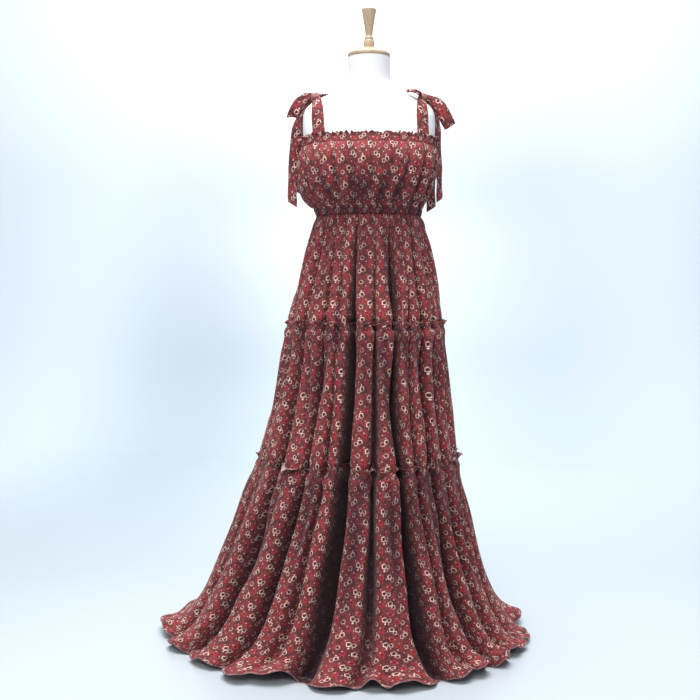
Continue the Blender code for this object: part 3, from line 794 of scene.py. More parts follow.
        split = shader.node("ShaderNodeSeparateXYZ", None, [flat])
        weave = (split * 5200.0).sin() * (shader.other(split, "Y") * 5200.0).sin()
        crepe = shader.noise(flat, 420.0, 2.0, True, Roughness=0.6)
        rumple = shader.noise(flat, 46.0, 2.0, True, Distortion=0.6)
        height = weave * 0.05 + crepe * 0.25 + rumple * 1.9 - stitch * 0.5
        return shader.finish(
            Base_Color=colour, Roughness=tone * 0.12 + 0.74, Sheen_Weight=0.10, Sheen_Roughness=0.5,
            Sheen_Tint=(0.9, 0.65, 0.6, 1.0), Specular_IOR_Level=0.25,
            Normal=shader.bump(height, 0.55, 0.0012),
        )


@dataclass(frozen=True)
class FormCover:
    """Smooth white stretch cover of the form's body."""

    name: str = "white_stretch_cover"
    colour: tuple = (0.86, 0.87, 0.88, 1.0)
    shade: tuple = (0.80, 0.81, 0.83, 1.0)

    def build(self) -> bpy.types.Material:
        """White knit with a very fine rib and faint unevenness.

        Returns:
            The material.
        """
        shader = Shader(self.name)
        place = shader.object_place()
        tone = shader.noise(place, 9.0, 3.0)
        split = shader.node("ShaderNodeSeparateXYZ", None, [place])
        rib = (split * 3600.0).sin() * (shader.other(split, "Z") * 2800.0).sin()
        grain = shader.noise(place, 900.0, 1.0)
        return shader.finish(
            Base_Color=shader.mix(tone.ramp(0.35, 0.65), self.shade, self.colour),
            Roughness=tone * 0.1 + 0.55,
            Normal=shader.bump(rib * 0.3 + grain * 0.5, 0.18, 0.0004), Sheen_Weight=0.1,
        )


@dataclass(frozen=True)
class PaleWood:
    """Pale turned wood with fine grain along the axis."""

    name: str = "pale_turned_wood"
    light: tuple = (0.530, 0.395, 0.270, 1.0)
    dark: tuple = (0.395, 0.270, 0.160, 1.0)

    def build(self) -> bpy.types.Material:
        """Stretched noise for the grain, with thin darker pores.

        Returns:
            The material.
        """
        shader = Shader(self.name)
        place = shader.object_place()
        stretched = shader.node("ShaderNodeMapping", None, {"Vector": place, "Scale": (60.0, 60.0, 7.0)})
        grain = shader.noise(stretched, 1.0, 4.0, Distortion=0.8)
        fine = shader.node("ShaderNodeMapping", None, {"Vector": place, "Scale": (420.0, 420.0, 26.0)})
        pores = shader.noise(fine, 1.0, 2.0)
        share = grain.ramp(0.35, 0.70) * 0.75 + pores.ramp(0.55, 0.75) * 0.35
        return shader.finish(
            Base_Color=shader.mix(share, self.light, self.dark), Roughness=pores * 0.15 + 0.38,
            Normal=shader.bump(pores, 0.15, 0.0004), Coat_Weight=0.15, Coat_Roughness=0.25,
        )


@dataclass(frozen=True)
class StandPaint:
    """White satin paint on the steel base and pole."""

    name: str = "white_stand_paint"
    colour: tuple = (0.78, 0.79, 0.80, 1.0)
    worn: tuple = (0.62, 0.63, 0.64, 1.0)

    def build(self) -> bpy.types.Material:
        """Paint with faint orange peel and a few duller marks.

        Returns:
            The material.
        """
        shader = Shader(self.name)
        place = shader.object_place()
        marks = shader.noise(place, 22.0, 4.0)
        peel = shader.noise(place, 420.0, 1.0)
        return shader.finish(
            Base_Color=shader.mix(marks.ramp(0.60, 0.85), self.colour, self.worn),
            Roughness=marks * 0.2 + 0.3,
            Normal=shader.bump(peel, 0.12, 0.0005),
        )


# The dress


@dataclass
class SkirtForm:
    """The skirt's smooth outer form: ovals whose folds follow the table of valleys down the skirt."""

    rows: int = len(SKIRT["crest_z"])
    folds: int = len(FOLDS["waist"])

    def level(self, z: Grid) -> Grid:
        """Table row, with a fraction, at a crest height."""
        fine = np.linspace(0, self.rows - 1, 1401)
        return np.interp(-np.asarray(z, float), -curve_at(SKIRT["crest_z"], fine), fine)

    def columns(self, for_each: int) -> np.ndarray:
        """Fold positions of the grid's columns, closer together in the valleys."""
        t = np.arange(self.folds * for_each) / for_each
        return t - 0.55 * np.sin(math.tau * t) / math.tau

    def share(self, along: np.ndarray) -> np.ndarray:
        """Depth at fold positions, as a share of the table's fold."""
        nearest, away = nearest_fold(along, self.folds)
        return FOLDS["strength"][nearest] * valley(away, FOLDS["spread"][nearest])

    def trench(self, along: np.ndarray, angle: Grid, levels: np.ndarray) -> Grid:
        """Metres of extra depth: extra * strength^1.3 * exp(-(metres from the valley / half width)^5).

        The half width shrinks with the strength to its power 0.8; both tables are read by height.

        Args:
            along: Fold positions of the columns.
            angle: Degrees at each point.
            levels: Table rows of the rows.

        Returns:
            Metres, rows by columns.
        """
        nearest, away = nearest_fold(along, self.folds)
        interval = np.radians(np.roll(angle, -1, axis=1) - angle) % math.tau
        step = np.roll(along, -1) - along
        step[-1] += self.folds
        radius = np.interp(levels, np.arange(self.rows), (SKIRT["left"] + SKIRT["front"]) / 2)[:, None]
        metres = away * interval / step * radius
        strength = FOLDS["strength"][nearest]
        z = curve_at(SKIRT["crest_z"], levels)[:, None]
        half_width = np.interp(z, DEEPER["z"], DEEPER["half_width"]) * strength**0.8
        extra = np.interp(z, DEEPER["z"], DEEPER["extra"]) * strength**1.3
        return extra * np.exp(-((metres / half_width) ** 5))

    def angles(self, levels: np.ndarray, along: np.ndarray) -> Grid:
        """Degrees round the body at table rows and fold positions.

        Args:
            levels: Table rows, with fractions.
            along: Fold positions.

        Returns:
            Degrees, rows by columns.
        """
        knots = [0.0, float(self.level(MIDDLE_Z)), self.rows - 1.0]
        tracks = np.stack([FOLDS["waist"], FOLDS["middle"], FOLDS["hem"]])
        valleys = np.stack([np.interp(levels, knots, track) for track in tracks.T], axis=1)
        wrapped = np.concatenate([valleys, valleys[:, :1] + 360], axis=1)
        whole = np.floor(along).astype(int)
        low, high = wrapped[:, whole % self.folds], wrapped[:, whole % self.folds + 1]
        straight = low + (high - low) * (along - whole)
        z = np.interp(levels, np.arange(self.rows), SKIRT["crest_z"])[:, None]
        wander = np.sin(z * 13.0 + 4.0 * np.sin(np.radians(straight * 3.0)))
        wander = wander + 0.6 * np.sin(z * 27.0 + straight * 0.11)
        return straight + 0.28 * wander * rise(z, 0.0, 0.12) * rise(z, 1.03, 0.93)

    def points(self, levels: np.ndarray, along: np.ndarray) -> tuple[Grid, Grid, Grid]:
        """Points of the outer face, their angles and the painted shade in the folds, from 0 to 1, which
        grows with each fold's depth.

        Args:
            levels: Table rows of the grid's rows.
            along: Fold positions of its columns.

        Returns:
            Points, degrees and painted shade.
        """
        at = {name: curve_at(column, levels)[:, None] for name, column in SKIRT.items()}
        angle = self.angles(levels, along)
        share = self.share(along)
        trench = self.trench(along, angle, levels)
        reach = (0.0015 + 0.0005 * levels[:, None]) * np.sin(np.radians(3.0 * angle + 40.0))
        near_hem = np.clip((levels[:, None] - self.rows + 5) / 4, 0, 1) ** 2
        for turn, extra, width in zip(*HEM_LOBES.values()):
            away = (angle - turn + 180) % 360 - 180
            reach = reach + near_hem * extra * bell(away, width)
        part = along - np.floor(along)
        middle_of = np.sin(np.radians(angle))
        slope = (part - 0.5) * (1 - np.abs(2 * part - 1) ** 6)
        slope = slope * -np.sign(middle_of) * np.abs(middle_of) ** 0.4
        lean_back = np.interp(at["crest_z"], LEAN_BACK["z"], LEAN_BACK["amount"])
        inward = at["fold"] * share + trench - reach - lean_back * slope * np.cos(np.radians(angle)) ** 2
        side, front, back, _ = form_at(np.maximum(at["crest_z"], FORM["z"][0]))
        around_form = at["crest_z"] > FORM["z"][0] - 0.02
        axes = []
        for name, body in (("left", side), ("front", front), ("right", side), ("back", back)):
            axes.append(np.maximum(at[name] - inward, np.where(around_form, body + FORM_CLEAR, 0.0)))
        x, y = oval(angle, *axes)
        z = at["crest_z"] + (at["valley_z"] - at["crest_z"]) * share
        # Painted shade in the folds, growing with their depth.
        deep = np.clip((at["fold"] * share + trench) / 0.042 - 0.16, 0.0, 1.0)
        return np.stack([x, y, z], axis=-1), angle, deep

    def seam_columns(self, along: np.ndarray) -> tuple[int, int]:
        """Grid columns of the left and right side seams, where the solids are parted.

        Args:
            along: Fold positions of the columns.

        Returns:
            Column numbers at the left and at the right.
        """
        coarse = np.stack([
            np.arange(self.folds), np.arange(self.folds) + FOLDS["spread"], np.arange(self.folds) + 0.5,
            np.arange(self.folds) + 1 - np.roll(FOLDS["spread"], -1),
        ], axis=1).ravel()
        signed = (self.angles(np.array([0.0]), coarse)[0] + 180) % 360 - 180
        places = [coarse[np.argmin(np.abs(signed + side))] for side in (90, -90)]
        return tuple(int(np.argmin(np.abs(along - place))) for place in places)


SKIRT_CREASES = Creases(table(
    "angle top bottom depth width lean",
    # Upper tier
    (-66, 1.02, 0.86, 0.0050, 0.007, -3), (-45, 1.03, 0.80, 0.0060, 0.008, 5),
    (-29, 1.02, 0.90, 0.0045, 0.006, 3), (-5, 1.03, 0.84, 0.0055, 0.007, 4),
    (15, 1.02, 0.81, 0.0060, 0.007, 5), (31, 1.03, 0.87, 0.0045, 0.006, -3),
    (44, 1.01, 0.82, 0.0055, 0.007, -3), (70, 1.02, 0.84, 0.0050, 0.008, -4),
    (88, 1.02, 0.88, 0.0045, 0.007, 4), (105, 1.02, 0.82, 0.0055, 0.008, 4),
    (124, 1.03, 0.86, 0.0050, 0.007, 3), (142, 1.02, 0.80, 0.0055, 0.008, -4),
    (163, 1.03, 0.88, 0.0050, 0.007, 4), (181, 1.02, 0.83, 0.0055, 0.007, 4),
    (201, 1.02, 0.86, 0.0050, 0.008, -4), (221, 1.03, 0.81, 0.0055, 0.007, 4),
    (243, 1.02, 0.87, 0.0045, 0.008, 4), (268, 1.02, 0.84, 0.0050, 0.008, -4),
    # Middle tier
    (-66, 0.75, 0.55, 0.0065, 0.010, -2), (-44, 0.76, 0.50, 0.0075, 0.009, 5),
    (-28, 0.75, 0.60, 0.0060, 0.008, -3), (-3, 0.76, 0.56, 0.0065, 0.009, 3),
    (11, 0.75, 0.48, 0.0075, 0.009, 4), (25, 0.75, 0.62, 0.0055, 0.007, 2),
    (36, 0.76, 0.54, 0.0065, 0.008, 3), (63, 0.75, 0.52, 0.0065, 0.009, -3),
    (83, 0.76, 0.58, 0.0060, 0.010, -3), (103, 0.75, 0.50, 0.0070, 0.010, 4),
    (123, 0.76, 0.56, 0.0065, 0.009, 3), (142, 0.75, 0.52, 0.0070, 0.010, -4),
    (163, 0.76, 0.60, 0.0060, 0.009, 4), (181, 0.75, 0.53, 0.0070, 0.009, 4),
    (202, 0.75, 0.56, 0.0065, 0.010, -4), (222, 0.76, 0.50, 0.0070, 0.010, 4),
    (245, 0.75, 0.57, 0.0065, 0.010, -4), (268, 0.75, 0.54, 0.0065, 0.010, 3),
    # Lower tier
    (-69, 0.43, 0.12, 0.0090, 0.014, -4), (-47, 0.43, 0.16, 0.0090, 0.012, -6),
    (-27, 0.43, 0.20, 0.0080, 0.011, -4), (-4, 0.43, 0.10, 0.0085, 0.012, -4),
    (11, 0.43, 0.14, 0.0100, 0.012, 3), (24, 0.43, 0.22, 0.0075, 0.010, 4),
    (35, 0.43, 0.12, 0.0085, 0.011, 5), (48, 0.43, 0.18, 0.0080, 0.011, 5),
    (63, 0.43, 0.14, 0.0085, 0.012, 3), (83, 0.43, 0.10, 0.0090, 0.013, 2),
    (104, 0.43, 0.16, 0.0090, 0.014, 3), (123, 0.43, 0.12, 0.0095, 0.014, 3),
    (143, 0.43, 0.20, 0.0085, 0.013, 2), (163, 0.43, 0.12, 0.0095, 0.014, 3),
    (182, 0.43, 0.16, 0.0090, 0.014, 3), (202, 0.43, 0.10, 0.0095, 0.014, 4),
    (223, 0.43, 0.18, 0.0090, 0.014, 4), (246, 0.43, 0.13, 0.0095, 0.014, 5),
    (270, 0.43, 0.16, 0.0090, 0.014, 6),
))


def degrees_from(turn: np.ndarray, centre: float) -> np.ndarray:
    """Degrees from an angle at places round the body, from 0 to 1."""
    return ((turn - centre / 360.0 + 0.5) % 1.0 - 0.5) * 360.0


@dataclass
class Ruffle:
    """A free heading above a stitch line: each column leans out by its own angle.

    The lean is base + swing * (0.5 + 0.5 wave), where the wave sums two drifting sines of uneven pitch. A
    flip adds a bell-shaped extra lean that turns the edge right over.
    """

    height: float
    base: float
    swing: float
    waves: float
    seed: int
    flips: tuple[tuple[float, float, float], ...] = ()
    plain: float = 0.3
    rows: int = 7

    def steps(self) -> np.ndarray:
        """Metres of its rows above the stitch line, from the free edge down."""
        return np.linspace(1.0, 1.0 / self.rows, self.rows) * self.height

    def lean(self, turn: np.ndarray) -> np.ndarray:
        """Radians outwards at places round the body, from 0 to 1.

        Args:
            turn: Places round the body, from 0 to 1.

        Returns:
            The lean of each column.
        """
        random = np.random.default_rng(self.seed)
        phase = random.uniform(0, math.tau, 4)
        drift = 0.35 * ripple(turn, 5, phase[0]) + 0.25 * ripple(turn, 11, phase[1])
        wave = 0.62 * ripple(turn, self.waves, 3.0 * drift + phase[2])
        wave += 0.38 * ripple(turn, self.waves * 0.618, 2.0 * drift + phase[3])
        lean = self.base + self.swing * (0.5 + 0.5 * wave)
        for centre, width, extra in self.flips:
            lean = lean + math.radians(extra) * bell(degrees_from(turn, centre), width)
        return lean

    def paleness(self, turn: np.ndarray) -> np.ndarray:
        """How pale the reverse shows at places round the body: 1 in a flip and less elsewhere.

        Args:
            turn: Places round the body, from 0 to 1.

        Returns:
            One number for each column.
        """
        total = np.full(turn.shape, self.plain)
        for centre, width, _ in self.flips:
            away = degrees_from(turn, centre)
            total += (1.0 - self.plain) * np.exp(-((away / (1.3 * width)) ** 4))
        return np.clip(total, 0.0, 1.0)

    def points(self, line: Grid, up: Grid, out: Grid, turn: np.ndarray) -> Grid:
        """Rows from the free edge down to just above the stitch line.

        Args:
            line: Points of the stitch line, one for each column.
            up: Unit steps along the cloth, away from the hem.
            out: Unit normals.
            turn: Places round the body, from 0 to 1.

        Returns:
            Grid of points, whose lean grows from the stitch line to the free edge.
        """
        share = np.linspace(1.0, 1.0 / self.rows, self.rows)[:, None, None]
        lean = self.lean(turn)[None, :, None] * (0.45 + 0.55 * share)
        tall = 1.0 + 0.16 * ripple(turn, self.waves * 0.47, 1.7) + 0.12 * ripple(turn, self.waves * 1.31, 0)
        height = self.height * tall[None, :, None]
        return line + height * share * (np.cos(lean) * up + np.sin(lean) * out)


def seed_of(name: str) -> int:
    """A fixed whole number for a name, the same in every run."""
    return sum((place + 3) * ord(letter) for place, letter in enumerate(name))


def settle(piece: bpy.types.Object, node: str, finish: bpy.types.Material) -> None:
    """Gives a piece its finish and its body, hides the solid it stands for, and logs its size.

    Args:
        piece: The new object.
        node: The solid's name.
        finish: The material.
    """
    piece.data.materials.append(finish)
    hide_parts(node)
    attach(piece, "root")
    faces = sum(len(polygon.vertices) - 2 for polygon in piece.data.polygons)
    LOG.info("%s: %d triangles", piece.name, faces)


@dataclass
class Tube:
    """A tube of cloth worked out as one grid, from its top edge down and all the way round.

    Down holds each row's metres from the top line, less than 0 in a heading. Edge is metres from a free
    edge, deep how much shade is painted on each point, and pale how much of the cloth's reverse shows
    inside.
    """

    outer: Grid
    normal: Grid
    down: np.ndarray
    edge: Grid
    deep: Grid
    pale: Grid

    def add_heading(self, ruffle: Ruffle, turn: np.ndarray, edge: Grid, deep: Grid) -> None:
        """Puts a ruffle's rows above the top edge.

        Args:
            ruffle: The heading.
            turn: Places of the columns round the body, from 0 to 1.
            edge: Its rows' metres from the free edge.
            deep: Its painted shade, one number for each column.
        """
        up = self.outer[0] - self.outer[1]
        up = up / np.linalg.norm(up, axis=1, keepdims=True)
        head = ruffle.points(self.outer[0], up, self.normal[0], turn)
        shape = head.shape[:2]
        self.outer = np.concatenate([head, self.outer])
        self.down = np.concatenate([-ruffle.steps(), self.down])
        self.edge = np.concatenate([np.broadcast_to(edge, shape), self.edge])
        self.deep = np.concatenate([np.broadcast_to(deep, shape), self.deep])
        self.pale = np.concatenate([np.broadcast_to(ruffle.paleness(turn), shape), self.pale])

    def halves(self, name: str, seams: tuple[int, int], cuts: Sequence, across: np.ndarray,
               shift: tuple[float, float], cloth: bpy.types.Material, floor: float | None = None) -> None:
        """Front and back shells, parted at the sides as the solids are, and declared as gathered sheets.

        Args:
            name: The solids' name without its side.
            seams: Grid columns of the left and right side seams.
            cuts: Flat width and length of the front and of the back; not used.
            across: Metres round the tube at each column, which the print follows.
            shift: Where the print starts, in metres.
            cloth: The material.
            floor: Lowest height of the inner layer.
        """
        uv = flat_places(across[None, :] + shift[0], self.down[:, None] + shift[1])
        marks = {"edge": self.edge, "deep": self.deep, "pale": self.pale}
        total = self.outer.shape[1]
        for side, (start, stop), cut in zip(("front", "back"), (seams, seams[::-1]), cuts):
            wanted = (start + np.arange((stop - start) % total + 1)) % total
            part = self.outer[:, wanted].copy()
            for rim, inside in ((0, 1), (-1, -2)):
                step = part[:, inside] - part[:, rim]
                part[:, rim] += SEAM_GAP * step / np.linalg.norm(step, axis=1, keepdims=True)
            places = uv[:, wanted].copy()
            wrapped = np.diff(places[0, :, 0]) < -WRAP_STEP
            places[..., 0] += np.cumsum(np.concatenate([[0.0], wrapped])) * (uv[0, -1, 0] - uv[0, 0, 0])
            half_marks = {key: value[:, wanted] for key, value in marks.items()}
            piece = cloth_shell(f"{name}_{side}_cloth", part, CLOTH_THICKNESS, places, half_marks, floor)
            settle(piece, f"{name}_{side}", cloth)


@dataclass
class Tier:
    """One gathered tier of the skirt, as a front and a back shell over its two solids.

    Top and bottom are heights on the form, and step is the distance between two rows of the grid. For_each
    is the number of columns in each big fold, and gathers the number of small ones at its top line. Lift
    raises it there over the tier above. The cut is a half's flat width and length, and the shift moves the
    print. All lengths are in metres.
    """

    name: str
    top: float
    bottom: float
    step: float
    for_each: int
    gathers: int
    gather_height: float
    gather_reach: float
    lift: float
    cut: tuple[float, float]
    shift: tuple[float, float]
    ruffle: Ruffle | None = None
    hem: bool = False
    form: SkirtForm = field(default_factory=SkirtForm)

    def levels(self) -> tuple[np.ndarray, np.ndarray]:
        """Table rows of the grid's rows, evenly far apart on the cloth, and their metres from the top.

        Returns:
            Table rows and metres.
        """
        form = self.form
        top, bottom = float(form.level(self.top)), float(form.level(self.bottom))
        if self.hem:
            bottom = form.rows - 1.0
        fine = np.linspace(top, bottom, 600)
        path, _, _ = form.points(fine, form.columns(self.for_each)[:: max(1, self.for_each // 4)])
        length = arc_lengths(path, 0).mean(axis=1)
        rows = int(round(length[-1] / self.step)) + 1
        return np.interp(np.linspace(0, length[-1], rows), length, fine), np.linspace(0, length[-1], rows)

    def relief(self, turn: Grid, z: Grid, around: np.ndarray, distance: np.ndarray) -> tuple[Grid, Grid]:
        """How far gathers and soft swells stand out, and how much shade is painted between the gathers.

        Args:
            turn: Radians round the body.
            z: Heights.
            around: Metres along the top line.
            distance: Metres below the top line.

        Returns:
            Metres outwards, and painted shade from 0 to 1.
        """
        seed, height, reach = seed_of(self.name), self.gather_height, self.gather_reach
        out = Gathers(self.gathers, seed, height, reach, around[-1]).bulge(around[:-1], distance)
        near_line = np.exp(-distance / (1.3 * reach))[:, None] * rise(distance, 0.0, 0.004)[:, None]
        # Painted shade between the gathers, near the gathering line.
        between = near_line * np.clip(1.0 - 2.6 * out / height, 0.0, 1.0)
        long_ones = Gathers(self.gathers // 3, seed + 5, height * 0.8, reach * 3.2, around[-1])
        out = out + long_ones.bulge(around[:-1], distance) - 0.35 * height * near_line
        swell = np.sin(7 * turn + 3.1 * np.sin(z * 8.0) + 0.7)
        swell = swell + 0.7 * np.sin(17 * turn + 2.0 * np.sin(z * 13.0 + 2.0) + z * 5.0)
        return out + SWELL_HEIGHT * swell * rise(distance, 0.0, 0.08)[:, None], between

    def wave_hem(self, tube: Tube, turn: Grid) -> None:
        """Uneven waves near the free edge, in and out and up from the floor.

        Args:
            tube: The tube, whose points are moved.
            turn: Radians round the body.
        """
        length = tube.down[-1]
        near = rise(tube.down, length - HEM_BAND, length)[:, None]
        uneven = 0.30 + 0.85 * np.sin(turn * 3.0 + 1.6 * np.sin(turn * 2.0) + 0.8) ** 2
        phase = turn * 23 + 2.6 * np.sin(turn * 6)
        wave = np.sin(phase) + 0.5 * np.sin(turn * 43 + 1.6 * np.sin(turn * 5) + 1.0)
        tube.outer += tube.normal * (HEM_WAVE * near * uneven * np.cos(phase))[..., None]
        tube.outer[..., 2] += near * uneven * (HEM_WAVE * wave + HEM_RISE)
        tube.outer[..., 2] = np.maximum(tube.outer[..., 2], HEM_LOWEST)

    def build(self, cloth: bpy.types.Material) -> None:
        """Works out the whole tube, and builds both halves.

        Args:
            cloth: The cloth's material.
        """
        form = self.form
        along = form.columns(self.for_each)
        levels, distance = self.levels()
        base, angle, deep = form.points(levels, along)
        normal = ring_normals(base)
        length, z, turn = distance[-1], base[..., 2], np.radians(angle)
        out, between = self.relief(turn, z, round_lengths(base[0]), distance)
        radius = np.hypot(base[..., 0], base[..., 1])
        crease = CREASE_DEPTH * SKIRT_CREASES.depth(angle, z, radius) * rise(z, 0.02, 0.10)
        crease = crease * (1.0 - 0.9 * np.clip(2.0 * deep, 0.0, 1.0))
        seam_lift = self.lift * (1.0 - rise(distance, 0.012, 0.045))[:, None]
        tucked = TUCK_DEPTH * rise(distance, length - 0.030, length - 0.016)[:, None] * (not self.hem)
        groove = GROOVE_DEPTH * bell(distance, 0.0045)[:, None] * (self.ruffle is not None)
        outer = base + normal * (out * (1.0 - 0.7 * deep) + seam_lift - tucked - groove)[..., None]
        outer[..., :2] -= base[..., :2] * (crease / radius)[..., None]
        # Painted shade in the creases and between the gathers, added to the folds' painted shade.
        deep = np.clip(deep + (CREASE_SHADE * crease + GATHER_SHADE * between) * (1.0 - deep), 0.0, 1.0)
        # Painted shade just under a heading's stitch line.
        if self.ruffle is not None:
            deep = np.clip(deep + HEADING_SHADE * bell(distance, 0.007)[:, None], 0.0, 1.0)
        ones = np.ones(outer.shape[:2])
        edge = np.broadcast_to((length - distance)[:, None], ones.shape) if self.hem else ones
        tube = Tube(outer, normal, distance, edge, deep, ones)
        if self.hem:
            self.wave_hem(tube, turn)
        if self.ruffle is not None:
            from_edge = (self.ruffle.height - self.ruffle.steps())[:, None] + HEADING_EDGE
            # The heading carries painted shade too.
            tube.add_heading(self.ruffle, (angle[0] / 360.0) % 1.0, from_edge, deep[:1] * HEADING_SHADE)
        across = arc_lengths(tube.outer[int(len(tube.outer) * 0.7)][None], 1)[0]
        floor = INNER_LOWEST if self.hem else None
        seams, cuts = form.seam_columns(along), (self.cut, self.cut)
        tube.halves(self.name, seams, cuts, across, self.shift, cloth, floor)


TIERS = (
    Tier("tier1", top=WAIST_Z, bottom=0.7672, step=0.0062, for_each=26, gathers=46, gather_height=0.0054,
         gather_reach=0.055, lift=0.0, cut=(0.72, 0.285), shift=(0.13, 1.1)),
    Tier("tier2", top=SEAM_1_Z, bottom=0.4382, step=0.0064, for_each=30, gathers=70, gather_height=0.0056,
         gather_reach=0.042, lift=0.0024, cut=(1.10, 0.365), shift=(0.57, 2.3),
         ruffle=Ruffle(0.016, 0.0, math.radians(58), 43, 21, ((19.0, 1.6, 50.0),))),
    Tier("tier3", top=SEAM_2_Z, bottom=0.0, step=0.0066, for_each=34, gathers=84, gather_height=0.0066,
         gather_reach=0.050, lift=0.0024, cut=(1.55, 0.500), shift=(0.29, 3.7),
         ruffle=Ruffle(0.016, 0.0, math.radians(60), 53, 22, ((-43.0, 5.0, 80.0),)), hem=True),
)
BODICE_CREASES = Creases(table(
    "angle top bottom depth width lean",
    (-62, 1.19, 1.07, 0.0045, 0.006, 6), (-44, 1.205, 1.07, 0.0050, 0.006, 5),
    (-27, 1.21, 1.08, 0.0045, 0.005, 3), (-12, 1.215, 1.07, 0.0050, 0.006, 2),
    (3, 1.215, 1.08, 0.0055, 0.006, -2), (17, 1.215, 1.09, 0.0045, 0.005, -2),
    (33, 1.21, 1.07, 0.0050, 0.006, -5), (52, 1.20, 1.07, 0.0045, 0.006, -6),
    (70, 1.18, 1.08, 0.0040, 0.006, -4), (-36, 1.13, 1.06, 0.0050, 0.006, 2),
    (-5, 1.14, 1.06, 0.0055, 0.006, 1), (11, 1.13, 1.06, 0.0050, 0.005, -1),
    (26, 1.13, 1.06, 0.0050, 0.006, -2), (110, 1.17, 1.07, 0.0040, 0.007, 3),
    (140, 1.17, 1.08, 0.0045, 0.007, 3), (168, 1.17, 1.07, 0.0045, 0.007, -2),
    (196, 1.17, 1.08, 0.0045, 0.007, 3), (226, 1.17, 1.07, 0.0045, 0.007, -3),
    (252, 1.17, 1.08, 0.0040, 0.007, -3),
))


@dataclass
class Bodice:
    """The gathered bodice: elastic casings at the neckline and the waist, folds between and a heading."""

    folds: int = 18
    for_each: int = 24
    rows: int = 56
    cuts: tuple[tuple[float, float], tuple[float, float]] = ((0.56, 0.235), (0.50, 0.205))
    fullness: float = 1.12
    top_band: float = 0.0024
    waist_band: float = 0.0038
    line_depth: float = 0.0014
    crease_depth: float = 1.8
    shift: tuple[float, float] = (0.31, 5.2)
    ruffle: Ruffle = field(
        default_factory=lambda: Ruffle(0.0125, math.radians(-2), math.radians(58), 64, 41, plain=0.5)
    )

    def columns(self) -> tuple[np.ndarray, np.ndarray]:
        """Angles of the columns, and the depth of the big folds there.

        Returns:
            Degrees and shares of the full depth.
        """
        t = np.arange(self.folds * self.for_each) / self.for_each
        number = np.arange(self.folds + 1)
        starts = 360.0 / self.folds * (number + 0.22 * np.sin(2.7 * (number % self.folds)))
        whole = np.floor(t).astype(int)
        angle = starts[whole] + (starts[whole + 1] - starts[whole]) * (t - whole) - 90.0
        nearest, away = nearest_fold(t, self.folds)
        return angle, (0.65 + 0.35 * np.sin(1.9 * nearest)) * valley(away, 0.25)

    def surface(self) -> tuple[Grid, Grid, Grid, Grid]:
        """The smooth form with its big folds: angles, depth of the folds, heights and points.

        Returns:
            The four grids, in that order.
        """
        angle, share = self.columns()
        place = np.linspace(0, len(BODICE["fold"]) - 1, self.rows)
        at = {name: curve_at(column, place)[:, None] for name, column in BODICE.items()}
        facing = np.cos(np.radians(angle))[None, :]
        flat_part = np.clip(1.35 * np.abs(facing), 0, 1) ** 0.5
        end_z = np.where(facing > 0, at["front_z"], at["back_z"])
        z = at["side_z"] + (end_z - at["side_z"]) * flat_part
        side, front, back, square = form_at(z)
        out = -at["fold"] * share[None, :]
        angles = np.broadcast_to(angle, z.shape)
        x, y = oval(angles, side + at["left"] + out, front + at["front"] + out,
                    side + at["right"] + out, back + at["back"] + out, square)
        return angles, share[None, :], z, np.stack([x, y, z], axis=-1)

    def scrunch(self, turn: np.ndarray) -> np.ndarray:
        """Fine uneven gathers of an elastic band, from 0 to 1, at places round the body.

        Args:
            turn: Places round the body, from 0 to 1.

        Returns:
            One number for each column.
        """
        phase = np.random.default_rng(77).uniform(0, math.tau, 3)
        fine = ripple(turn, 92, 2.5 * ripple(turn, 9, phase[0])) * 0.5 + 0.5
        return fine * (0.6 + 0.4 * ripple(turn, 23, phase[1]))

    def build(self, cloth: bpy.types.Material) -> None:
        """Works out the whole tube, and builds its front and back.

        Args:
            cloth: The cloth's material.
        """
        angles, share, z, base = self.surface()
        normal = ring_normals(base)
        around = round_lengths(base[0])
        down = arc_lengths(base, 0).mean(axis=1)
        length = down[-1]
        above_waist = length - WAIST_CASING - down
        upper = Gathers(count=58, seed=11, height=0.0066, reach=0.038, round_metres=around[-1])
        upper = upper.bulge(around[:-1], down - TOP_CASING)
        lower = Gathers(count=54, seed=12, height=0.0084, reach=0.040, round_metres=around[-1])
        lower = lower.bulge(around[:-1], above_waist)
        # Painted shade between the gathers low on the bodice, and in its big folds below the bust.
        painted_gap_shade = 0.22 * rise(z, 1.105, 1.060) * (1.0 - (lower + upper) / 0.0060)
        deep = np.clip(painted_gap_shade + 0.40 * share * rise(z, 1.16, 1.12), 0.0, 1.0)
        scrunch = self.scrunch(around[:-1] / around[-1])
        in_top = rise(down, 0.013, 0.011) * rise(down, 0.0, 0.003)
        in_waist = rise(down, length - 0.021, length - 0.018)
        band = in_top[:, None] * self.top_band + in_waist[:, None] * self.waist_band
        lines = bell(down - TOP_CASING, 0.0016) + bell(above_waist, 0.0016)
        crease = self.crease_depth * BODICE_CREASES.depth(angles, z, np.hypot(base[..., 0], base[..., 1]))
        blouse = 0.0045 * bell(z - 1.118, 0.020) - 0.0050 * bell(z - 1.072, 0.013)
        out = upper + lower + band * scrunch[None, :] + blouse - self.line_depth * lines[:, None] - crease
        # Painted shade in the creases, stronger low down, and between the waist's scrunched gathers.
        deep = np.clip(deep + (45.0 + 30.0 * rise(z, 1.17, 1.12)) * crease, 0.0, 0.85)
        deep = np.clip(deep + 0.45 * in_waist[:, None] * (1.0 - scrunch[None, :]), 0.0, 0.9)
        half_pale = np.full(z.shape, 0.5)
        edge = np.broadcast_to(np.abs(down - TOP_CASING)[:, None] + STITCH_AT, z.shape)
        tube = Tube(base + normal * out[..., None], normal, down, edge, deep, half_pale)
        head_edge = np.abs(-self.ruffle.steps() - TOP_CASING)[:, None] + STITCH_AT
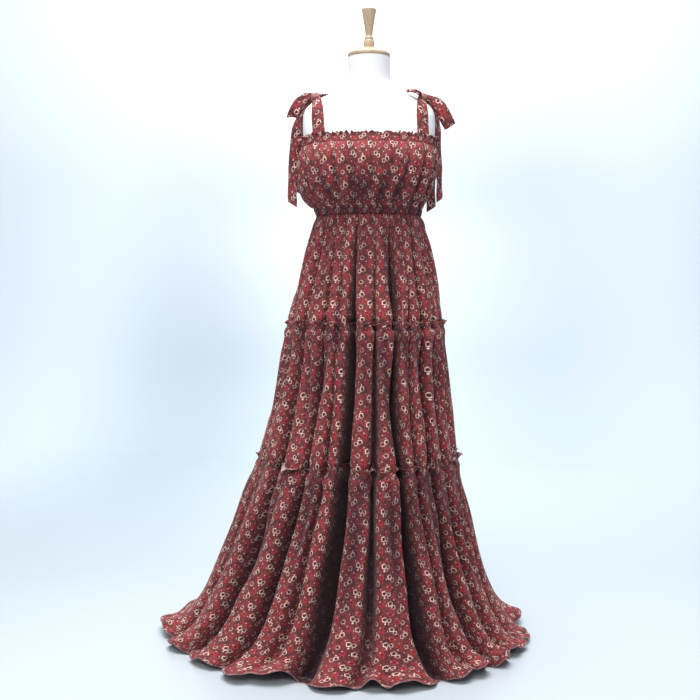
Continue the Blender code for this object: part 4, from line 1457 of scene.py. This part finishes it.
        # The heading carries painted shade too.
        tube.add_heading(self.ruffle, (angles[0] / 360.0) % 1.0, head_edge, deep[:1] * 0.3 + 0.25)
        signed = (angles[0] + 180) % 360 - 180
        seams = (int(np.argmin(np.abs(signed + 90))), int(np.argmin(np.abs(signed - 90))))
        across = arc_lengths(tube.outer[int(len(tube.outer) * 0.55)][None], 1)[0] * self.fullness
        tube.halves("bodice", seams, self.cuts, across, self.shift, cloth)


# The ties


KNOT_X, STRAP_FOOT, STRAP_SWEEP = 0.128, 1.207, 86.5
TIE_WIDTH, TIE_PINCH, TIE_THICKNESS = 0.028, 0.013, 0.0014
TIE_PLAIN_EDGE = 0.0050
KNOT_SIZE = (0.012, 0.014, 0.010)
TIE_LIFT = 0.0012


@dataclass(frozen=True)
class Ribbon:
    """A loop or tail: its middle line in millimetres from the knot, and which way its width lies."""

    name: str
    path: tuple
    start: tuple
    end: tuple
    turn: tuple | None = None
    seed: int = 1

    def grid(self, centre: np.ndarray, mirror: np.ndarray) -> tuple[Grid, Grid]:
        """Points across and along the ribbon, and their texture places.

        The width starts at the pinch and opens to the full one, the middle line is crowned, and a tail's
        free end is cut on the slant. A soft sine wave along the length crumples it.

        Args:
            centre: The knot's centre.
            mirror: 1 or -1 for each axis.

        Returns:
            The grid of points and their texture places.
        """
        looped = self.turn is not None
        count, across_count = (56, 9) if looped else (72, 9)
        path = np.array(self.path, float) / 1000 * mirror + centre
        line = curve_at(path, np.linspace(0, len(path) - 1, count))
        share = np.linspace(0, 1, count)
        ways = np.array([self.start, self.turn if looped else self.end, self.end]) * mirror
        across = np.stack([np.interp(share, [0, 0.5, 1], ways[:, k]) for k in range(3)], axis=1)
        ahead = np.gradient(line, axis=0)
        ahead /= np.linalg.norm(ahead, axis=1, keepdims=True)
        across = across - np.sum(across * ahead, axis=1, keepdims=True) * ahead
        across /= np.linalg.norm(across, axis=1, keepdims=True)
        facing = np.cross(ahead, across)
        from_knot = np.minimum(share, 1 - share) * 2 if looped else share
        open_share = rise(from_knot, 0.0, 0.55 if looped else 0.30)
        widths = TIE_PINCH + (TIE_WIDTH - TIE_PINCH) * open_share
        place = np.linspace(-0.5, 0.5, across_count)
        pleats = np.cos(place * 3 * math.pi)[None, :] * 0.35
        shape = 0.0014 * (1 - (2 * place) ** 2)[None, :] + 0.0035 * (1 - open_share)[:, None] * pleats
        run = share * float(np.linalg.norm(np.diff(line, axis=0), axis=1).sum())
        wave = np.sin(run[:, None] * 95 + self.seed + 3.0 * place[None, :])
        crumple = 0.0009 * wave * open_share[:, None]
        points = line[:, None] + across[:, None] * (widths[:, None] * place)[..., None]
        points = points + facing[:, None] * (shape + crumple)[..., None]
        if not looped:
            slant = rise(share, 0.86, 1.0)[:, None] * place[None, :] * 0.016
            points = points - ahead[:, None] * (slant + 0.008 * rise(share, 0.86, 1.0)[:, None])[..., None]
        uv = flat_places(place[None, :] * TIE_WIDTH + self.seed * 0.37, run[:, None] + self.seed * 1.3)
        return points, uv


BOWS = {
    Side.LEFT: (
        Ribbon(
            "loop_outer",
            (
                (6, -6, 2), (16, -10, 1), (29, -15, -8), (41, -18, -22), (50, -20, -38),
                (55, -19, -51), (54, -13, -52), (48, -10, -39), (39, -8, -25), (28, -5, -12),
                (17, -1, -4), (6, 1, -1),
            ),
            (0.0, 0.2, 1.0), (0.1, 0.2, 1.0), (1.0, 0.1, 0.1), 1,
        ),
        Ribbon(
            "loop_inner",
            (
                (-4, 6, 5), (-12, 17, 9), (-20, 31, 9), (-26, 45, 5), (-28, 48, 0), (-22, 36, 2),
                (-13, 20, 4), (-4, 7, 1),
            ),
            (1.0, 0.2, 0.0), (1.0, 0.2, 0.0), (1.0, 0.5, -0.15), 2,
        ),
        Ribbon(
            "tail_front",
            (
                (1, 7, -7), (14, 13, -15), (34, 18, -37), (45, 21, -62), (53, 22, -105),
                (57, 22, -165), (59, 20, -220), (58, 18, -272),
            ),
            (0.0, 1.0, -0.2), (0.8, 0.6, 0.0), None, 3,
        ),
        Ribbon(
            "tail_back",
            (
                (3, 8, 0), (14, 24, -2), (30, 50, -26), (38, 68, -72), (41, 75, -120), (42, 77, -180),
                (41, 76, -242),
            ),
            (1.0, 0.1, 0.0), (0.75, 0.66, 0.0), None, 4,
        ),
    ),
    Side.RIGHT: (
        Ribbon(
            "loop_outer",
            (
                (6, -5, 1), (16, -9, -5), (28, -14, -12), (39, -18, -22), (48, -21, -36),
                (57, -23, -54), (65, -22, -71), (64, -16, -73), (55, -13, -56), (45, -11, -39),
                (35, -9, -25), (24, -6, -14), (14, -3, -6), (6, 0, -1),
            ),
            (0.0, 0.2, 1.0), (0.1, 0.2, 1.0), (0.84, 0.0, 0.55), 5,
        ),
        Ribbon(
            "loop_inner",
            (
                (-5, -6, 4), (-12, -17, 10), (-20, -29, 11), (-27, -38, 9), (-29, -41, 7),
                (-27, -39, 5), (-19, -30, 6), (-12, -19, 5), (-5, -8, 1),
            ),
            (0.6, -0.5, -0.4), (0.6, -0.5, -0.4), (0.8, -0.55, -0.2), 6,
        ),
        Ribbon(
            "tail_front",
            (
                (1, 6, -7), (14, 12, -15), (33, 24, -37), (39, 38, -68), (42, 50, -115),
                (44, 53, -170), (45, 51, -220), (45, 48, -258),
            ),
            (0.1, 1.0, -0.2), (0.55, 0.83, 0.0), None, 7,
        ),
        Ribbon(
            "tail_back",
            (
                (4, 8, 0), (11, 24, -2), (25, 50, -24), (31, 70, -72), (28, 82, -130), (26, 86, -200),
                (26, 84, -279),
            ),
            (1.0, 0.1, 0.0), (0.8, 0.6, 0.0), None, 8,
        ),
    ),
}


def shoulder_points(x: Grid, sweep: Grid) -> Grid:
    """Where rays from inside the chest meet the form: the distance is found by halving 40 times.

    Args:
        x: Metres to the side.
        sweep: Degrees up from the front; 90 is straight up and 180 the back.

    Returns:
        Points on the form.
    """
    x, sweep = np.broadcast_arrays(np.asarray(x, float), np.radians(np.asarray(sweep, float)))
    low, high = np.zeros(x.shape), np.full(x.shape, 0.25)
    for _ in range(40):
        middle = (low + high) / 2
        y, z = -middle * np.cos(sweep), STRAP_FOOT + middle * np.sin(sweep)
        side, front, back, square = form_at(z)
        depth = np.where(y < 0, front, back)
        inside = (np.abs(x) / side) ** square + (np.abs(y) / depth) ** square < 1
        low, high = np.where(inside, middle, low), np.where(inside, high, middle)
    return np.stack([x, -low * np.cos(sweep), STRAP_FOOT + low * np.sin(sweep)], axis=-1)


@dataclass
class TiedShoulder:
    """One shoulder's straps, knot, loops and tails."""

    side: Side

    def knot_place(self) -> tuple[np.ndarray, np.ndarray, np.ndarray]:
        """The knot's centre, its outward direction and its up direction.

        Returns:
            The three vectors, in metres.
        """
        sign = self.side.sign
        here, further = (
            shoulder_points(np.array(sign * x), np.array(90.0)) for x in (KNOT_X, KNOT_X + 0.006)
        )
        outward = (further - here) / np.linalg.norm(further - here)
        up = np.array([-outward[2] * sign, 0.0, abs(outward[0])])
        return here + up * (KNOT_SIZE[2] + 0.0005), outward, up

    def tie(
        self, node: str, grid: Grid, uv: Grid, cloth: bpy.types.Material
    ) -> None:
        """A strap, loop or tail from its outer grid.

        Args:
            node: The solid's name without its side.
            grid: Outer points, along the tie and across it.
            uv: Texture places.
            cloth: The material.
        """
        across = np.linspace(0.5, -0.5, grid.shape[1])
        edge = np.broadcast_to((0.5 - np.abs(across)) * TIE_WIDTH + TIE_PLAIN_EDGE, grid.shape[:2])
        marks = {"edge": edge, "pale": np.zeros(edge.shape)}
        piece = cloth_shell(f"{node}_{self.side.label}_tie", grid, TIE_THICKNESS, uv.copy(), marks)
        settle(piece, f"{node}_{self.side.label}", cloth)

    def strap(self, cloth: bpy.types.Material, back: bool) -> None:
        """A strap that lies on the form from inside the casing to the knot, its middle slightly crowned.

        Args:
            cloth: The cloth's material.
            back: Whether it is the back strap.
        """
        sign, foot = self.side.sign, self.side.strap_foot
        share = np.linspace(0, 1, 40)[:, None]
        sweep = (180 - STRAP_SWEEP * share) if back else STRAP_SWEEP * share
        place = np.linspace(-0.5, 0.5, 9)
        width = TIE_WIDTH + (TIE_PINCH + 0.006 - TIE_WIDTH) * rise(share, 0.62, 1.0)
        x = sign * (foot + (KNOT_X - foot) * share + width * place)
        grid = shoulder_points(x, sweep)
        if (sign > 0) == back:
            grid = grid[:, ::-1]
        grid = grid[::-1]
        normal = ring_normals(grid, closed=False)
        folds = 0.0012 * rise(share, 0.6, 1.0)[::-1] * (1 + np.cos(place * 5 * math.pi))
        lift = TIE_LIFT + TIE_THICKNESS * 0.8 + 0.0004 * (1 - (2 * place) ** 2) + folds
        grid = grid + normal * lift[..., None]
        run = arc_lengths(grid, 0).mean(axis=1)
        seed = 9 + 2 * back + (sign > 0)
        uv = flat_places(place[None, :] * TIE_WIDTH + seed * 0.41, run[:, None] + seed * 0.9)
        self.tie("strap_back" if back else "strap_front", grid, uv, cloth)

    def knot(self, cloth: bpy.types.Material) -> None:
        """A tight knot: an egg shape wrapped by three slanting turns of cloth.

        Args:
            cloth: The cloth's material.
        """
        centre, outward, up = self.knot_place()
        rows, columns = 40, 56
        theta = np.linspace(0.02, math.pi - 0.02, rows)[:, None]
        phi = np.linspace(0, math.tau, columns, endpoint=False)[None, :]
        wraps = np.cos(3 * phi + 2.6 * np.cos(theta) + 0.6)
        ridges = 0.085 * np.sign(wraps) * np.abs(wraps) ** 0.7 * np.sin(theta)
        swell = 1.0 + ridges + 0.03 * np.sin(5 * theta + phi)
        level = swell * np.sin(theta)
        local = [level * np.cos(phi), level * np.sin(phi), swell * np.cos(theta) * np.ones_like(phi)]
        axes = (outward, np.array([0.0, 1.0, 0.0]), up)
        sizes = (KNOT_SIZE[0] * 1.02, KNOT_SIZE[1] * 1.02, KNOT_SIZE[2] * 1.03)
        rings = centre + sum(part[..., None] * axis * size for part, axis, size in zip(local, axes, sizes))
        if self.side is Side.LEFT:
            rings = rings[:, ::-1]
        uv = flat_places(phi * 0.013 + 0.2, theta * 0.012 + 0.4)
        piece = closed_tube(f"knot_{self.side.label}_tie", rings, uv)
        settle(piece, f"knot_{self.side.label}", cloth)

    def build(self, cloth: bpy.types.Material) -> None:
        """All seven pieces.

        Args:
            cloth: The cloth's material.
        """
        centre, _, _ = self.knot_place()
        mirror = np.array([self.side.sign, 1.0, 1.0])
        self.knot(cloth)
        self.strap(cloth, False)
        self.strap(cloth, True)
        for ribbon in BOWS[self.side]:
            grid, uv = ribbon.grid(centre, mirror)
            grid = grid + ring_normals(grid, closed=False) * TIE_THICKNESS / 2
            self.tie(ribbon.name, grid, uv, cloth)


# The dress form


TORSO_LEVELS = ((0.745, 1.28, 70), (1.28, 1.38, 60), (1.38, 1.4351, 14))
CAP_PROFILE = (
    (0.0002, 0.0), (0.0150, 0.0), (0.0165, 0.002), (0.0210, 0.0050), (0.0320, 0.0085), (0.0445, 0.0120),
    (0.0508, 0.0145), (0.0528, 0.0178), (0.0528, 0.0225), (0.0510, 0.0254), (0.0002, 0.0254),
)
FINIAL_PROFILE = (
    (0.0002, 0.095), (0.0160, 0.095), (0.0177, 0.0935), (0.0178, 0.0905), (0.0152, 0.076),
    (0.0122, 0.058), (0.0098, 0.042), (0.0087, 0.0325), (0.0087, 0.0275), (0.0106, 0.0250),
    (0.0118, 0.0218), (0.0108, 0.0188), (0.0126, 0.0160), (0.0134, 0.0120), (0.0136, 0.0060),
    (0.0133, 0.0015), (0.0128, 0.0), (0.0002, 0.0),
)


@dataclass
class DressForm:
    """The limbless form: smooth covered torso, wooden cap and finial, painted stand."""

    cap_z: float = 1.4354
    cap_height: float = 0.0254
    gap: float = 0.0003
    columns: int = 96

    def torso(self, cover: bpy.types.Material) -> None:
        """Ovals on smooth curves through the form's table, from the neck down to the flat foot.

        Args:
            cover: The cover's material.
        """
        z = np.unique(np.concatenate([np.linspace(*span) for span in TORSO_LEVELS]))[::-1]
        side, front, back, square = (value[:, None] for value in form_at(z))
        angle = np.linspace(0, 360, self.columns, endpoint=False)[None, :]
        x, y = oval(angle, side, front, side, back, square)
        rings = np.stack([x, y, np.broadcast_to(z[:, None], x.shape)], -1)
        piece = closed_tube("torso_cover", rings)
        piece.data.set_sharp_from_angle(angle=math.radians(50))
        settle(piece, "form_torso", cover)

    def wood(self, finish: bpy.types.Material) -> None:
        """Turned neck cap and finial, from the top down.

        Args:
            finish: The wood's material.
        """
        top = self.cap_z + self.cap_height
        cap = turned("neck_cap_wood", [(radius, top - below) for radius, below in CAP_PROFILE], 96)
        settle(cap, "form_neck_cap", finish)
        foot = top + self.gap
        finial = turned("finial_wood", [(radius, foot + above) for radius, above in FINIAL_PROFILE], 72)
        settle(finial, "form_finial", finish)

    def build(self) -> None:
        """Everything of the form; the hidden stand keeps its solids."""
        self.torso(FormCover().build())
        self.wood(PaleWood().build())
        paint = StandPaint().build()
        for node in ("form_pole", "form_base"):
            solid = bpy.data.objects[node]
            solid.data.materials.clear()
            solid.data.materials.append(paint)


# The studio


@dataclass(frozen=True)
class AreaLight:
    """A square soft light that faces a point."""

    name: str
    place: tuple[float, float, float]
    aim: tuple[float, float, float]
    size: float
    watts: float
    colour: tuple[float, float, float]

    def build(self) -> None:
        """Puts the light in the scene."""
        light = bpy.data.lights.new(self.name, "AREA")
        light.shape = "SQUARE"
        light.size = self.size
        light.energy = self.watts
        light.color = self.colour
        obj = bpy.data.objects.new(self.name, light)
        ahead = np.array(self.aim, float) - np.array(self.place, float)
        obj.location = self.place
        tilt, heading = math.acos(-ahead[2] / np.linalg.norm(ahead)), math.atan2(ahead[1], ahead[0])
        obj.rotation_euler = (tilt, 0.0, heading - math.pi / 2)
        bpy.context.scene.collection.objects.link(obj)


LIGHTS = (
    AreaLight("top_light", (-0.3, -0.9, 4.4), (0.0, 0.0, 0.0), 2.6, 174.0, (1.0, 0.98, 0.96)),
    AreaLight("key_light", (-0.6, -3.3, 2.6), (0.0, 0.0, 1.0), 1.2, 58.0, (1.0, 0.97, 0.94)),
    AreaLight("back_light", (0.0, 1.2, 4.4), (0.0, 3.9, 0.8), 3.6, 222.0, (0.94, 0.97, 1.0)),
)
# Painted shadows on the sweep beside and behind the dress: centre x, floor y, height z, how fast each fades
# along x, y and z, and how dark.
PAINTED_SHADOWS = ((-1.0, 2.6, 0.45, (2.0, 0.55, 1.0), 0.32), (0.95, 3.4, 0.9, (1.8, 0.7, 0.8), 0.20))
# Painted light: sweep colours by place, paler near the camera, darker behind the dress and paler up the
# wall, for how the light falls.
NEAR_FLOOR, FAR_FLOOR = (0.485, 0.540, 0.580, 1.0), (0.435, 0.487, 0.528, 1.0)
LOW_WALL, HIGH_WALL = (0.60, 0.67, 0.73, 1.0), (0.74, 0.79, 0.83, 1.0)
# Dark blue-grey of the painted shadows.
PAINTED_SHADOW_COLOUR = (0.06, 0.09, 0.12, 1.0)
AIR_COLOUR, AIR_STRENGTH = (0.82, 0.90, 1.0, 1.0), 0.30


@dataclass
class Studio:
    """Pale glossy floor with a curved backdrop, soft lights and the camera."""

    focal_px: float = 1024.66
    distance: float = 2.5517
    height: float = 0.8645
    pitch: float = 0.0302
    shift_px: tuple[float, float] = (-19.0, -30.0)
    half_width: float = 6.0
    bend_start: float = 2.6
    bend_radius: float = 1.6
    reach: float = 7.0
    picture_px: float = 700.0
    sensor: float = 36.0

    def backdrop(self) -> None:
        """A sweep that runs along the floor and curves up behind the dress, with painted light and painted
        shadows in its colour.
        """
        start, bend = self.bend_start, self.bend_radius
        turns = np.linspace(0.05, math.pi / 2, 24)
        curve = [(start + bend * math.sin(t), bend - bend * math.cos(t)) for t in turns]
        line = np.array([(-self.reach, 0.0), (start, 0.0), *curve, (start + bend, self.reach)])
        x = np.array([-self.half_width, self.half_width])
        ahead, up = np.repeat(line[:, :1], 2, 1), np.repeat(line[:, 1:], 2, 1)
        points = np.stack([np.broadcast_to(x[None, :], (len(line), 2)), ahead, up], -1)
        index = np.arange(len(line) * 2).reshape(-1, 2)
        faces = np.stack([index[:-1, 0], index[:-1, 1], index[1:, 1], index[1:, 0]], -1).tolist()
        sweep = mesh_object("studio_sweep", points.reshape(-1, 3), faces)
        shader = Shader("studio_white")
        place = shader.object_place()
        tone = shader.noise(place, 1.3, 2.0)
        split = shader.node("ShaderNodeSeparateXYZ", None, [place])
        ahead, up = shader.other(split, "Y"), shader.other(split, "Z")
        # Painted light: the colour ramps along the floor and up the wall stand in for how the light falls.
        floor = shader.mix(ahead.ramp(-0.3, 0.7), NEAR_FLOOR, FAR_FLOOR)
        colour = shader.mix(ahead.ramp(0.5, 3.0), floor, LOW_WALL)
        colour = shader.mix(up.ramp(0.5, 2.8), colour, HIGH_WALL)
        # Painted shadows, darkening the sweep towards a dark blue-grey.
        for x, y, z, widths, share in PAINTED_SHADOWS:
            parts = ((split - x) * widths[0], (y - ahead).most(0.0) * widths[1], (up - z) * widths[2])
            away = (parts[0] ** 2.0 + parts[1] ** 2.0 + parts[2] ** 2.0) ** 0.5
            colour = shader.mix(away.ramp(1.9, 0.1) * share, colour, PAINTED_SHADOW_COLOUR)
        sweep.data.materials.append(shader.finish(
            Base_Color=colour, Roughness=tone * 0.1 + 0.28, Specular_IOR_Level=0.35,
        ))

    def build(self) -> None:
        """Camera, world, lights and backdrop."""
        scene = bpy.context.scene
        scene.view_settings.view_transform = "Standard"
        camera = bpy.data.cameras.new("photo_camera")
        camera.sensor_width = self.sensor
        camera.lens = self.sensor * self.focal_px / self.picture_px
        camera.shift_x, camera.shift_y = (shift / self.picture_px for shift in self.shift_px)
        camera.clip_end = 60.0
        holder = bpy.data.objects.new("photo_camera", camera)
        holder.location = (0.0, -self.distance, self.height)
        holder.rotation_euler = (math.pi / 2 - self.pitch, 0.0, 0.0)
        scene.collection.objects.link(holder)
        scene.camera = holder
        world = scene.world or bpy.data.worlds.new("studio_air")
        scene.world = world
        world.use_nodes = True
        air = world.node_tree.nodes["Background"]
        air.inputs["Color"].default_value = AIR_COLOUR
        air.inputs["Strength"].default_value = AIR_STRENGTH
        for light in LIGHTS:
            light.build()
        self.backdrop()


def main() -> None:
    """Builds the studio, the form and the dress in order."""
    logging.basicConfig(level=logging.INFO, format="%(message)s")
    Studio().build()
    DressForm().build()
    cloth = PrintedCloth().build()
    Bodice().build(cloth)
    for tier in TIERS:
        tier.build(cloth)
    for side in Side:
        TiedShoulder(side).build(cloth)


if __name__ == "__main__":
    main()
